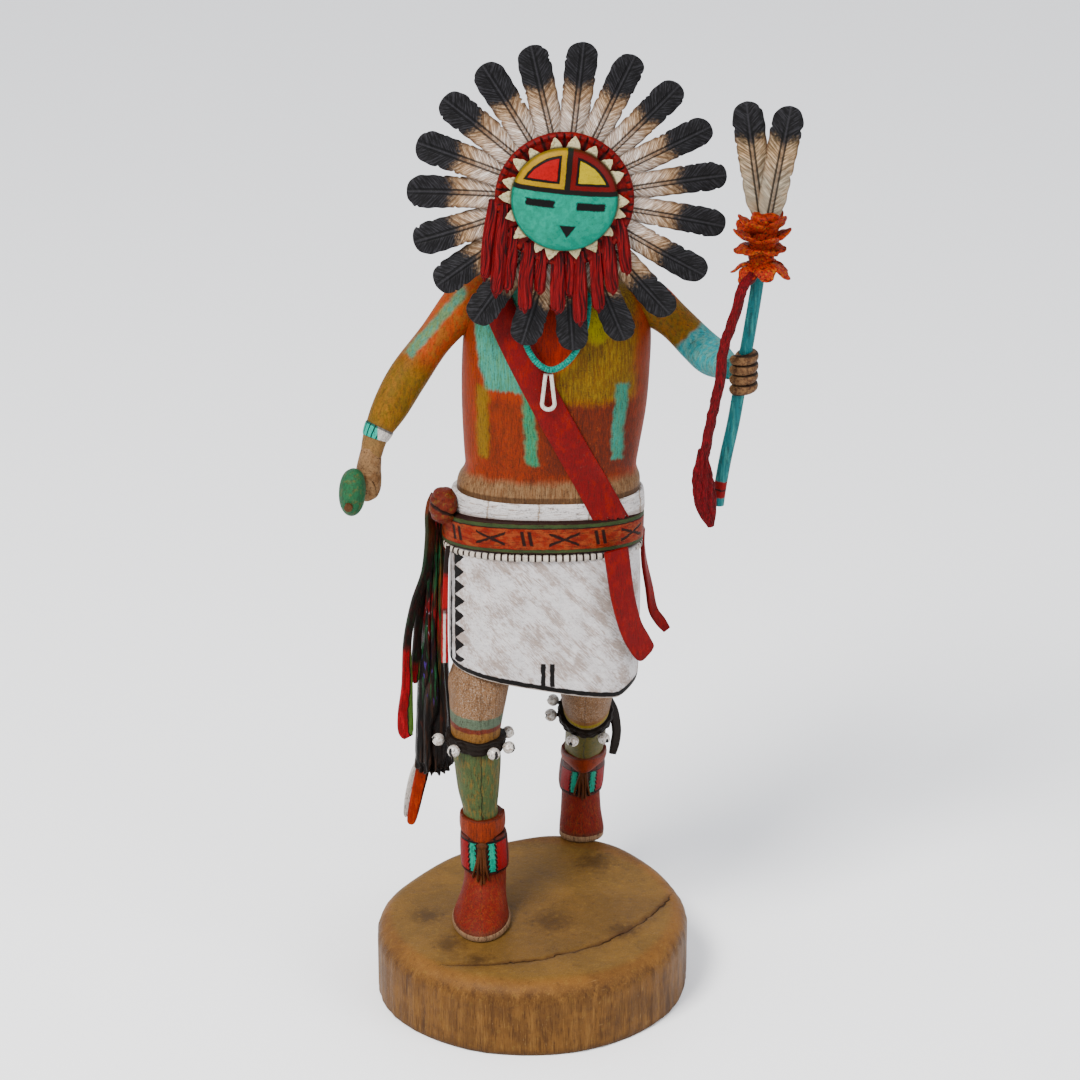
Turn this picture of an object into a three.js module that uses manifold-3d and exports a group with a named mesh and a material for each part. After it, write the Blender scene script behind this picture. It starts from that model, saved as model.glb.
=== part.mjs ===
// A carved and painted wooden dancer doll with a round sun mask, a crown of
// feathers, a feathered staff and a gourd rattle, standing on a slab of root.
// Millimetres, +Z up, the figure faces -Y. The origin is the middle of the
// slab's underside.
import * as THREE from "three";
import { mergeVertices } from "three/addons/utils/BufferGeometryUtils.js";
import Module from "manifold-3d";

const wasm = await Module();
wasm.setup();

// ---------------------------------------------------------------- dimensions

const GAP = 0.3; // clearance kept between pieces that touch

const BASE = { height: 30, radius: 61.5, footEase: 1.6, edgeFront: 9, edgeBack: 5 };
const FLOOR = BASE.height + GAP; // where the soles stand

// Level sections: [height, centre x, centre y, half width, half depth].
const TORSO = [
  [191, 6.2, 14.8, 32.6, 17.6],
  [200, 6.6, 14.6, 32.4, 17.8],
  [209, 7.5, 14, 32.2, 18.2],
  [218, 7.8, 13.6, 32.9, 19],
  [236, 8.8, 13, 34.3, 20.5],
  [252, 9.4, 12.6, 34.8, 21.3],
  [266, 10, 12.5, 34.4, 21.3],
  [276, 10.3, 12.5, 32.2, 19.6],
  [284, 10.6, 12.5, 25.5, 16.5],
  [289.5, 11, 12.4, 15.5, 12.4],
  [293, 11.3, 12, 10.5, 10],
  [306, 11.8, 11, 9.2, 9.2],
];
const TORSO_POWER = 2.35; // how square the trunk's sections are
const WAIST_POWER = 2.3; // and those of the waistband and belt
const KILT_POWER = 3; // and those of the kilt

const WAISTBAND = [
  [194, 6.4, 14.6, 36.4, 19],
  [196, 6.4, 14.6, 36.6, 19.2],
  [201, 6.4, 14.6, 36.3, 19],
  [202.4, 6.5, 14.6, 35.4, 18.2],
];
const KILT = [
  [129.5, 5, 13.2, 35.8, 24.8],
  [133, 5, 13.2, 36.2, 25.2],
  [150, 5.2, 13.8, 36.4, 23.2],
  [170, 5.4, 14.4, 36.2, 20.4],
  [184, 5.2, 14.6, 35.6, 19],
  [195, 5.4, 14.6, 34.8, 18],
];
const KILT_SLANT = { perMm: 0.17, top: 172 }; // the hem drops towards the left leg
const BELT = [
  [182.2, 4.6, 14.6, 37, 20.2],
  [183.4, 4.6, 14.6, 38, 21.2],
  [193.4, 4.8, 14.6, 38, 21],
  [194.6, 4.9, 14.6, 36.8, 19.8],
];
const BELT_RISE = 0.07; // how far the belt climbs for each millimetre forward

const FRONT_LEG = [
  [FLOOR, -19.2, -9.5, 11, 17.6],
  [33, -19.3, -9.6, 11.4, 18],
  [37, -18.9, -8, 10.2, 15.4],
  [42, -18.2, -4.6, 8.6, 11],
  [48, -17.7, -2.2, 8.2, 8.8],
  [62, -18.2, -1.8, 8, 8.2],
  [74, -19.4, -1.6, 6.7, 7.6],
  [84, -20.1, -1.6, 8, 8.8],
  [96, -20.4, -2.4, 9, 9.6],
  [103, -21, -2.8, 9.2, 9.6],
  [109, -21, -2.2, 9.5, 10.4],
  [115, -20.6, -0.4, 10.2, 11.6],
  [121, -20.1, 1.8, 11, 12.6],
  [128, -19.6, 3.8, 11.8, 13.4],
  [136, -18, 7, 10.4, 12],
];
const BACK_LEG = [
  [FLOOR, 20.4, 62, 8, 6.8],
  [33, 20.5, 62.6, 9.1, 7.8],
  [40, 20.2, 66.4, 8.2, 8.4],
  [48, 20.2, 70.4, 7.8, 9.2],
  [56, 20.6, 71.4, 7.9, 10],
  [66, 21, 63.4, 7.6, 9.8],
  [78, 21.5, 53.4, 7.9, 10.4],
  [88, 21.8, 45.2, 8.2, 10.8],
  [97, 21.8, 37.6, 8.8, 11.2],
  [104, 21.8, 32.6, 9.6, 10.6],
  [112, 21.8, 28.6, 10.6, 10.8],
  [124, 21.4, 24.4, 11, 12.2],
  [142, 21, 19.6, 11.8, 13.4],
];

const ANKLETS = [
  [[47, -17.7, -2.1, 8.8, 9.4], [50, -17.8, -2, 9.5, 10], [63, -18.2, -1.8, 9.2, 9.4],
    [66, -18.4, -1.8, 8.4, 8.6]],
  [[48, 20.2, 70.4, 8.6, 10], [51, 20.3, 71.4, 9.2, 11], [60, 20.9, 68.6, 9.1, 11.4],
    [64, 21, 65.2, 8.4, 10.4]],
];

const CUFFS = [
  // middle of each boot's rolled top, its reach, and how far it leans per mm of height
  { at: [-18.8, -1.8, 70], reach: 7.7, lean: 0 },
  { at: [21.1, 61.4, 68], reach: 8.1, lean: 0.85 },
];

const BELL = { radius: 2.45, sides: 7, rows: 5 };
const STRAP = {
  thick: 1.1,
  halfHeight: 3.1,
  loose: [[30.4, 41, 101, 2.4, 60], [32.6, 40, 96, 2.4, 50], [33.8, 38.6, 89, 2, 40],
    [33.2, 37.6, 83.4, 1.9, 30], [32.2, 37, 79.2, 1.4, 20]],
};
const KNEES = [
  // where each bell strap sits, the way its leg runs, and the bells round it
  {
    side: "right",
    at: [-21, -2.7, 105.6],
    along: [0.06, 0, 1],
    around: 10.1,
    bellsAt: [190, 236, 300, 334, 30, 108],
  },
  {
    side: "left",
    at: [21.5, 38.4, 97],
    along: [0, -0.62, 0.78],
    around: 9.4,
    bellsAt: [186, 158, 248, 302, 96],
  },
];

// Limbs: [x, y, z, radius across, radius deep] along the bone.
const RIGHT_ARM = [
  [-15, 13, 281, 7.2, 7.6],
  [-22.9, 12, 276.6, 8.2, 8.2],
  [-34.7, 10.4, 263, 6.7, 7.2],
  [-45.4, 8, 249.4, 6.7, 7],
  [-52, 4, 238.6, 5.7, 6],
  [-57, 0.4, 228.8, 4.2, 4.6],
  [-58.8, -1.8, 221.4, 4, 4.4],
];
const RIGHT_FIST = [
  [-58.8, -1.8, 222.6, 3.9, 4.2],
  [-59.7, -2.8, 216.4, 4.6, 5.2],
  [-60.4, -3.4, 210, 4.9, 5.8],
  [-60.6, -3.8, 205.4, 3.4, 4.4],
];
const LEFT_ARM = [
  [36, 13, 280, 7.2, 7.6],
  [43.6, 12.2, 276.2, 8.1, 8.2],
  [53, 12, 268.6, 6.8, 7.2],
  [61.4, 8.6, 261, 7, 7.2],
  [66.6, 1.4, 258.4, 7, 7.2],
  [70.4, -7.6, 258.8, 5.2, 5.8],
  [73.2, -14, 259.6, 4, 4.6],
];
const LEFT_FIST = { at: [76.6, -19.4, 260.4], size: [5.6, 6, 8.2], power: 2.6 };
const WRISTBAND = { from: 0.76, to: 0.84, grow: 0.8 };

const RATTLE = { at: [-65.4, -13.4, 211.2], size: [5, 7, 9.2], lean: 4, handle: 1.5 };

const STAFF = {
  depth: -20,
  radius: 2.3,
  // x and height of the rod's middle line, from the tip up to the feathers
  line: [
    [68.6, 209],
    [69.4, 216],
    [71.2, 228],
    [73.8, 242],
    [76.4, 260.6],
    [78.8, 277],
    [81, 294],
    [82.4, 309],
    [83.2, 317],
  ],
};
const BLOSSOM = {
  tiers: [[300.4, 11.8, 7], [311, 12.6, 6]], // height, reach and number of petals
  core: [[298.6, 81.6, 3.4], [304, 82, 4.2], [312, 82.6, 4.8], [320, 83.2, 5.1]], // height, x, radius
};
const YARN = [
  [79.4, -25.4, 299],
  [75, -28.4, 294],
  [72.1, -29.4, 283.6],
  [69.1, -29.8, 272.4],
  [67.6, -30.2, 261],
  [66, -30, 249.6],
  [63.7, -29.6, 238],
  [62.3, -29, 230],
];
const TASSEL = [
  [62.3, -29, 231, 2.6, 2.4],
  [63.4, -28.6, 224.6, 4.9, 3.4],
  [64.6, -28.4, 216, 4.6, 3.4],
  [65.8, -28.6, 208.6, 3, 2.4],
  [66.4, -28.8, 203.8, 1.4, 1.3],
];

const HEAD = { x: 12.2, z: 324.6 };
const CROWN = { y: -15, count: 19, turn: -12.6, root: 20.5, tip: 57, longest: 140, twist: 13 };
const FEATHER = { thick: 1.4, quill: 1.9, shoulder: 4.9, widest: 5.9 };
const FACE = { radius: 18.9, dome: 5.2, back: -19.9, rim: 1.3, lift: 1 };
const HUSK = { count: 18, inner: 18, outer: 22.9, halfBase: 2.05 };
const HAIR = { radius: 24.7, back: -17.1, front: -19.6, locks: 7 };
const SKULL = { radius: 22, front: -13.3, back: 25 };

const BANDOLIER = { width: 9.6, thick: 1, hip: [29.6, 201.5], shoulder: [-10, 281] };
const STRAP_STAND = GAP + 0.8; // how far the strap stands off the smooth trunk
const SASH_KNOT = { at: [-33.4, 6.4, 198], size: [5.4, 6.2, 7.4], power: 2.3 };
// Level sections of the panel behind the hanging ends.
const SIDE_SASH = [[78.5, -38.4, 26, 5.4, 6.6], [84, -38, 25.6, 7.2, 8.6],
  [104, -37.8, 25, 6.6, 9.6], [126, -37.6, 24.4, 5.6, 9.4], [148, -37, 24, 4.6, 8.4],
  [170, -36, 24, 3.6, 7], [186, -34.6, 24, 2.8, 5.4]];
// Hanging ends: [x, y, z, half width, turn of the width from +X].
const OUTER_TAIL = [[-36.4, 12.6, 193, 3.2, 70], [-37.6, 13.6, 182, 3.1, 60],
  [-40, 14, 168, 2.6, 40], [-44.4, 14.4, 154, 2.3, 30], [-46.8, 14.6, 138, 2.2, 25],
  [-47.6, 14.6, 120, 2.7, 20], [-47.4, 14.6, 108, 3.5, 12], [-46.6, 14.6, 98, 3.8, 8]];
const INNER_TAIL = [[-37.4, 20, 186, 2.6, 70], [-38.6, 20.4, 172, 2.4, 50],
  [-42.4, 19.4, 154, 2.2, 30], [-44, 18.8, 138, 2, 30], [-44.6, 18.8, 126, 2.1, 25],
  [-44.2, 18.8, 119, 1.6, 20]];
const SASH_TIP = [[-41.8, 25, 77.4, 3, 0], [-43.4, 26, 70, 2.9, 0], [-45.6, 27, 60, 2.4, 0],
  [-46.6, 27, 53.6, 1.6, 0]];
const STRAP_FRONT_TAIL = [[33.2, -8, 181.4, 4.3, 28], [33.8, -8.4, 174, 4.3, 30],
  [36, -7.6, 162, 4.4, 34], [40, -6.2, 150, 4.7, 36], [43.6, -4.4, 142, 5, 34]];
const STRAP_BACK_TAIL = [[42.4, 26, 181, 3, 100], [43.2, 26, 168, 2.4, 80],
  [45.4, 25.6, 156, 2.1, 60], [47, 25, 147, 2, 40], [50, 24.6, 142, 2.1, 20],
  [52.4, 24.6, 138.6, 1.6, 10]];
const TAIL_THICK = 1.7;

const PENDANT = { x: 6.6, top: 256.4, stand: 3, drop: 14.6, topHalf: 1.9, lowHalf: 3.4, bore: 1.45 };

const WOOD = (color, roughness = 0.62) =>
  new THREE.MeshStandardMaterial({ color, roughness, metalness: 0 });
const PAINT = {
  root: WOOD(0x7a5a30, 0.7),
  skin: WOOD(0xa5482c, 0.6),
  ochre: WOOD(0x8a6428),
  teal: WOOD(0x1fae98, 0.5),
  feather: WOOD(0xb79a7c, 0.7),
  red: WOOD(0x96201f),
  brick: WOOD(0x92402a),
  dark: WOOD(0x211b18),
  white: WOOD(0xd8d4cc),
  green: WOOD(0x3f8a5c),
  blue: WOOD(0x3f8fa0),
  orange: WOOD(0xd8431d),
  silver: new THREE.MeshStandardMaterial({ color: 0xcfcac2, roughness: 0.35, metalness: 0.6 }),
};

// ------------------------------------------------------------------- helpers

const rad = THREE.MathUtils.degToRad;
const vec = (x, y, z) => new THREE.Vector3(x, y, z);

/** Volume enclosed by an indexed geometry; negative if its faces point inwards. */
function signedVolume(points, index) {
  let sum = 0;
  for (let i = 0; i < index.length; i += 3) {
    const [a, b, c] = [points[index[i]], points[index[i + 1]], points[index[i + 2]]];
    sum += a.dot(vec().crossVectors(b, c));
  }
  return sum / 6;
}

/** An indexed geometry from points and triangles, with its faces pointing out. */
function geometryOf(points, index) {
  if (signedVolume(points, index) < 0) index = index.slice().reverse();
  return new THREE.BufferGeometry().setFromPoints(points).setIndex(index);
}

/** Skins rings of equal length. Open ends get a flat cap. */
function skin(rings, closed = false) {
  const n = rings[0].length;
  const points = rings.flat();
  const index = [];
  const bands = closed ? rings.length : rings.length - 1;
  for (let i = 0; i < bands; i++) {
    const low = i * n;
    const high = ((i + 1) % rings.length) * n;
    for (let j = 0; j < n; j++) {
      const k = (j + 1) % n;
      index.push(low + j, low + k, high + k, low + j, high + k, high + j);
    }
  }
  if (!closed) {
    const last = (rings.length - 1) * n;
    for (const [start, way] of [[0, -1], [last, 1]]) {
      const middle = points.length;
      const ring = points.slice(start, start + n);
      points.push(ring.reduce((sum, p) => sum.add(p), vec(0, 0, 0)).divideScalar(n));
      for (let j = 0; j < n; j++) {
        const edge = [start + j, start + ((j + 1) % n)];
        if (way < 0) edge.reverse();
        index.push(...edge, middle);
      }
    }
  }
  return geometryOf(points, index);
}

/** A smooth value between stations, each a list of numbers, at t from 0 to 1. */
function between(stations, t) {
  const span = stations.length - 1;
  const i = Math.min(Math.floor(t * span), span - 1);
  const u = t * span - i;
  const pick = (k) => stations[THREE.MathUtils.clamp(k, 0, span)];
  const [p, a, b, q] = [pick(i - 1), pick(i), pick(i + 1), pick(i + 2)];
  return a.map((v, k) => {
    const [m0, m1] = [(b[k] - p[k]) / 2, (q[k] - v) / 2];
    const [u2, u3] = [u * u, u * u * u];
    return (2 * u3 - 3 * u2 + 1) * v + (u3 - 2 * u2 + u) * m0
      + (3 * u2 - 2 * u3) * b[k] + (u3 - u2) * m1;
  });
}

/** The station of a level-section list at a height. */
function sectionAt(stations, z) {
  const last = stations.length - 1;
  let i = 0;
  while (i < last - 1 && z > stations[i + 1][0]) i++;
  const u = THREE.MathUtils.clamp((z - stations[i][0]) / (stations[i + 1][0] - stations[i][0]), 0, 1);
  return between(stations, (i + u) / last);
}

/** A point of the unit superellipse at an angle. */
function onSuperellipse(angle, power) {
  const bend = (v) => Math.sign(v) * Math.abs(v) ** (2 / power);
  return [bend(Math.cos(angle)), bend(Math.sin(angle))];
}

/** Level sections moved outwards by an even amount, past their ends too. */
function grown(stations, amount) {
  const last = stations.length - 1;
  return stations.map(([z, x, y, a, b], i) => {
    const [below, above] = [stations[Math.max(i - 1, 0)], stations[Math.min(i + 1, last)]];
    const slope = (above[3] - below[3]) / (above[0] - below[0]);
    const out = amount / Math.hypot(1, slope);
    const past = amount * ((i === last) - (i === 0));
    return [z - slope * out + past, x, y, a + out, b + out];
  });
}

/** One level ring. */
function levelRing([z, x, y, a, b], sides, power, lift = () => 0) {
  return Array.from({ length: sides }, (_, j) => {
    const [c, s] = onSuperellipse((j / sides) * 2 * Math.PI, power);
    const [px, py] = [x + c * a, y + s * b];
    return vec(px, py, z + lift(px, py, z));
  });
}

/** A solid skinned over level sections. */
function loft(stations, { sides = 20, power = 2, steps = stations.length - 1, grow = 0, lift } = {}) {
  const list = grow ? grown(stations, grow) : stations;
  const rings = Array.from({ length: steps + 1 }, (_, i) =>
    levelRing(between(list, i / steps), sides, power, lift));
  return skin(rings);
}

/** A limb: oval sections square to a smooth line through stations. */
function limb(stations, { sides = 10, steps = stations.length - 1, grow = 0, from = 0, to = 1 } = {}) {
  const at = (t) => between(stations, THREE.MathUtils.clamp(t, 0, 1));
  const rings = Array.from({ length: steps + 1 }, (_, i) => {
    const t = THREE.MathUtils.lerp(from, to, i / steps);
    const [x, y, z, across, deep] = at(t);
    const way = vec(...at(t + 0.01).slice(0, 3)).sub(vec(...at(t - 0.01).slice(0, 3))).normalize();
    const side = vec(0, 1, 0).cross(way).normalize();
    const front = vec().crossVectors(way, side);
    return Array.from({ length: sides }, (_, j) => {
      const angle = (j / sides) * 2 * Math.PI;
      return vec(x, y, z)
        .addScaledVector(side, Math.cos(angle) * (across + grow))
        .addScaledVector(front, Math.sin(angle) * (deep + grow));
    });
  });
  return skin(rings);
}

/** A round tube through points, closed on itself or with capped ends. */
function tube(points, radius, sides, steps, closed = false) {
  const curve = new THREE.CatmullRomCurve3(points.map((p) => vec(...p)), closed);
  const frames = curve.computeFrenetFrames(steps, closed);
  const rings = Array.from({ length: closed ? steps : steps + 1 }, (_, i) => {
    const middle = curve.getPointAt(i / steps);
    return Array.from({ length: sides }, (_, j) => {
      const angle = (j / sides) * 2 * Math.PI;
      return middle.clone()
        .addScaledVector(frames.normals[i], Math.cos(angle) * radius)
        .addScaledVector(frames.binormals[i], Math.sin(angle) * radius);
    });
  });
  return skin(rings, closed);
}

/** A flat strip: each station is [x, y, z, half width, turn of its width from +X]. */
function strip(stations, thick, grow = 0) {
  const steps = 2 * (stations.length - 1);
  const rings = Array.from({ length: steps + 1 }, (_, i) => {
    const t = i / steps;
    const [x, y, z, half, turn] = between(stations, t);
    const way = vec(...between(stations, Math.min(t + 0.02, 1)).slice(0, 3))
      .sub(vec(...between(stations, Math.max(t - 0.02, 0)).slice(0, 3))).normalize();
    const flat = vec(Math.cos(rad(turn)), Math.sin(rad(turn)), 0);
    const side = flat.addScaledVector(way, -flat.dot(way)).normalize();
    const out = vec().crossVectors(way, side);
    const middle = vec(x, y, z).addScaledVector(way, grow * ((i === steps) - (i === 0)));
    return [[-1, -1], [1, -1], [1, 1], [-1, 1]].map(([s, o]) => middle.clone()
      .addScaledVector(side, s * (half + grow)).addScaledVector(out, o * (thick / 2 + grow)));
  });
  return skin(rings);
}

/** An ellipsoid, or a blunter one with a power over 2. */
function lump(at, size, power = 2, sides = 10, rows = 7) {
  const rings = Array.from({ length: rows - 1 }, (_, i) => {
    const [h, r] = onSuperellipse(Math.PI * (1 - (i + 1) / rows), power);
    return levelRing([at[2] + h * size[2], at[0], at[1], size[0] * r, size[1] * r], sides, power);
  });
  return skin(rings);
}

/** A closed geometry as a manifold-3d solid. */
function solidOf(geometry) {
  const plain = geometry.clone();
  for (const name of ["normal", "uv"]) plain.deleteAttribute(name);
  const merged = mergeVertices(plain, 1e-4);
  const mesh = new wasm.Mesh({
    numProp: 3,
    vertProperties: new Float32Array(merged.attributes.position.array),
    triVerts: new Uint32Array(merged.index.array),
  });
  return new wasm.Manifold(mesh);
}

/** A manifold-3d solid as a geometry. */
function geometryFrom(solid) {
  const { vertProperties, triVerts } = solid.getMesh();
  return new THREE.BufferGeometry()
    .setAttribute("position", new THREE.BufferAttribute(vertProperties, 3))
    .setIndex(new THREE.BufferAttribute(triVerts, 1));
}

const join = (...shapes) => shapes.map(solidOf).reduce((sum, s) => sum.add(s));

const doll = new THREE.Group();

/** Adds a named piece to the doll. */
function piece(name, geometry, material, parent = doll) {
  const mesh = new THREE.Mesh(geometry, material);
  mesh.name = name;
  parent.add(mesh);
  return mesh;
}

// ---------------------------------------------------------------------- base

/** Reach of the slab's side at an angle: a lobe under the back foot, a flat beside it. */
function baseReach(angle) {
  const swell = (centre, width) => {
    const off = Math.atan2(Math.sin(angle - rad(centre)), Math.cos(angle - rad(centre)));
    return Math.exp(-((off / rad(width)) ** 2));
  };
  return BASE.radius + 5.2 * swell(70, 24) - 6.4 * swell(140, 40) + 0.9 * swell(-150, 50);
}

function makeBase() {
  const sides = 36;
  const ring = (z, inset) => Array.from({ length: sides }, (_, j) => {
    const angle = (j / sides) * 2 * Math.PI;
    const r = baseReach(angle) - inset(angle);
    return vec(r * Math.cos(angle), r * Math.sin(angle), z(angle));
  });
  const edge = (angle) =>
    THREE.MathUtils.lerp(BASE.edgeFront, BASE.edgeBack, (1 + Math.sin(angle)) / 2);
  const rings = [
    ring(() => 0, () => BASE.footEase),
    ring(() => BASE.footEase, () => 0),
  ];
  for (const step of [0, 30, 60, 90]) {
    const [up, inward] = [Math.sin(rad(step)), 1 - Math.cos(rad(step))];
    rings.push(ring((a) => BASE.height - edge(a) * (1 - up), (a) => edge(a) * inward));
  }
  return skin(rings);
}

// -------------------------------------------------------------------- figure

/** Pulls the kilt's hem down towards the figure's left leg. */
const kiltLift = (x, y, z) =>
  -KILT_SLANT.perMm * (x - KILT[0][1]) * THREE.MathUtils.clamp((KILT_SLANT.top - z) / 40, 0, 1);
const beltLift = (x, y) => -BELT_RISE * (y - BELT[0][2]);

const torsoShape = (grow = 0) => loft(TORSO, { sides: 20, power: TORSO_POWER, steps: 11, grow });
const waistbandShape = (grow = 0) => loft(WAISTBAND, { sides: 20, power: WAIST_POWER, grow });
const beltShape = (grow = 0) =>
  loft(BELT, { sides: 20, power: WAIST_POWER, grow, lift: beltLift });
const kiltShape = (grow = 0) =>
  loft(KILT, { sides: 20, power: KILT_POWER, steps: 4, grow, lift: kiltLift });
const frontLegShape = (grow = 0) => loft(FRONT_LEG, { sides: 10, steps: 12, grow });
const backLegShape = (grow = 0) => loft(BACK_LEG, { sides: 10, steps: 11, grow });

/** A rolled boot top with a point at the front. */
function bootCuff({ at, reach, lean }) {
  const rows = [[-3.4, 0.4], [-2.2, 1], [1.6, 1], [3.4, 0.7], [3.6, -0.4]];
  const sides = 10;
  return skin(rows.map(([h, out]) => Array.from({ length: sides }, (_, j) => {
    const angle = (j / sides) * 2 * Math.PI;
    const [c, s] = [Math.cos(angle), Math.sin(angle)];
    const point = h < 0 ? 3.2 * Math.max(0, -s) ** 6 : 0;
    const r = reach + out;
    return vec(at[0] + c * r, at[1] + s * r * 1.06 - lean * h, at[2] + h - point);
  })));
}

function makeFigure() {
  const parts = [
    torsoShape(),
    waistbandShape(),
    beltShape(),
    kiltShape(),
    frontLegShape(),
    backLegShape(),
    ...ANKLETS.map((list) => loft(list, { sides: 10 })),
    ...CUFFS.map(bootCuff),
  ];
  return geometryFrom(join(...parts));
}

const TRUNK = [[grown(TORSO, STRAP_STAND), TORSO_POWER], [grown(WAISTBAND, STRAP_STAND), WAIST_POWER]];

/** True where a point stands clear of the trunk and the waistband. */
function clearOfTrunk(p) {
  return TRUNK.every(([list, power]) => {
    if (p.z > list[list.length - 1][0] || p.z < list[0][0]) return true;
    const [, x, y, a, b] = sectionAt(list, p.z);
    return Math.abs((p.x - x) / a) ** power + Math.abs((p.y - y) / b) ** power > 1;
  });
}

/** How far a ray from inside the trunk goes before it comes out. */
function trunkReach(from, way) {
  let [low, high] = [0, 0];
  while (!clearOfTrunk(from.clone().addScaledVector(way, high))) {
    low = high;
    high += 2;
  }
  for (let i = 0; i < 24; i++) {
    const middle = (low + high) / 2;
    if (clearOfTrunk(from.clone().addScaledVector(way, middle))) high = middle;
    else low = middle;
  }
  return high;
}

/** Where the chest's front is at x and height. */
function chestFront(x, z) {
  const [, cx, cy, a, b] = sectionAt(TORSO, z);
  const left = Math.max(0, 1 - Math.abs((x - cx) / a) ** TORSO_POWER);
  return cy - b * left ** (1 / TORSO_POWER);
}

// ---------------------------------------------------------- strap and necklace

/** The strap over the right shoulder: it lies on the trunk, in one slanting plane. */
function bandolierShape(grow = 0) {
  const hip = vec(BANDOLIER.hip[0], 0, BANDOLIER.hip[1]);
  const shoulder = vec(BANDOLIER.shoulder[0], 0, BANDOLIER.shoulder[1]);
  const up = shoulder.clone().sub(hip).normalize();
  const across = vec().crossVectors(vec(0, 1, 0), up);
  const middle = hip.clone().lerp(shoulder, 0.5).setY(12.5);
  const half = BANDOLIER.width / 2 + grow;
  const [first, last, steps] = [157, -156, 32];
  const rings = Array.from({ length: steps + 1 }, (_, i) => {
    const angle = rad(THREE.MathUtils.lerp(first, last, i / steps));
    const way = up.clone().multiplyScalar(Math.cos(angle))
      .addScaledVector(vec(0, -1, 0), Math.sin(angle));
    const turned = vec().crossVectors(across, way);
    const lanes = [-half, 0, half].map((lane) => {
      const hitAt = (nudge, axis) => {
        const from = middle.clone().addScaledVector(across, lane).addScaledVector(axis, nudge);
        return from.addScaledVector(way, trunkReach(from, way));
      };
      const slopes = [across, turned].map((axis) => hitAt(0.7, axis).sub(hitAt(-0.7, axis)));
      const out = vec().crossVectors(...slopes).normalize();
      if (out.dot(way) < 0) out.negate();
      return [hitAt(0, across), out];
    });
    const lay = ([hit, out], d) => hit.clone().addScaledVector(out, d);
    return [...lanes.map((lane) => lay(lane, -grow)),
      ...lanes.reverse().map((lane) => lay(lane, BANDOLIER.thick + grow))];
  });
  return skin(rings);
}

/** The bead necklace: a narrow U on the chest, closed behind the neck. */
function necklaceShape() {
  const stand = BANDOLIER.thick + 5.5 * GAP + 1.15;
  const drop = [[21.4, 284], [20.4, 276], [17.6, 267.6], [13.2, 261.4], [7.4, 258.6],
    [2, 261.8], [-1.6, 268.6], [-2, 276], [0.8, 284]];
  const front = drop.map(([x, z]) => [x, chestFront(x, z) - stand, z]);
  const back = [[-1.6, 4.6, 295], [1.2, 18, 298.6], [11.4, 24, 299.6], [21.8, 18, 298.6],
    [24.8, 4.6, 295]];
  return tube([...front, ...back], 1.15, 5, 28, true);
}

/** The shell drop: a long loop, cut from one piece. */
function makePendant() {
  const outline = (inset) => {
    const half = (s) => THREE.MathUtils.lerp(PENDANT.topHalf, PENDANT.lowHalf, s) - inset;
    const low = PENDANT.lowHalf - inset;
    const points = [[-half(0), -inset], [-half(1), -PENDANT.drop + PENDANT.lowHalf]];
    for (let a = 200; a <= 340; a += 28) {
      points.push([low * Math.cos(rad(a)), -PENDANT.drop + PENDANT.lowHalf + low * Math.sin(rad(a))]);
    }
    points.push([half(1), -PENDANT.drop + PENDANT.lowHalf], [half(0), -inset]);
    return points.map(([x, y]) => new THREE.Vector2(x, y));
  };
  const shape = new THREE.Shape(outline(0));
  shape.holes.push(new THREE.Path(outline(PENDANT.bore)));
  return new THREE.ExtrudeGeometry(shape, { depth: 1.5, bevelEnabled: false }).rotateX(Math.PI / 2);
}

// ---------------------------------------------------------------------- head

/** One flat feather, from its quill at the origin up +Z, turned about its quill. */
function featherShape(length, { quill, shoulder, widest, thick }, twist) {
  const half = (t) => {
    if (t < 0.14) return THREE.MathUtils.lerp(quill, shoulder, t / 0.14);
    if (t < 0.72) return THREE.MathUtils.lerp(shoulder, widest, (t - 0.14) / 0.58);
    return widest * Math.sqrt(Math.max(0, 1 - ((t - 0.72) / 0.28) ** 2.4));
  };
  const stops = [0, 0.14, 0.72, 0.84, 0.93, 0.99];
  const right = stops.map((t) => new THREE.Vector2(half(t), t * length));
  const left = right.map((p) => new THREE.Vector2(-p.x, p.y)).reverse();
  const outline = new THREE.Shape([...right, ...left]);
  return new THREE.ExtrudeGeometry(outline, { depth: thick, bevelEnabled: false })
    .translate(0, 0, -thick / 2).rotateX(Math.PI / 2).rotateZ(rad(twist));
}

function addCrown() {
  const crown = new THREE.Group();
  crown.position.set(HEAD.x + 0.3, CROWN.y, HEAD.z + 0.2);
  doll.add(crown);
  for (let i = 0; i < CROWN.count; i++) {
    const turn = CROWN.turn + (i * 360) / CROWN.count;
    const tip = CROWN.tip + 1.2 * Math.cos(rad(turn - CROWN.longest));
    const shape = featherShape(tip - CROWN.root, FEATHER, CROWN.twist).translate(0, 0, CROWN.root);
    const feather = piece(`crown_feather_${String(i + 1).padStart(2, "0")}`, shape, PAINT.feather, crown);
    feather.rotation.y = rad(turn);
  }
}

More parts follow.
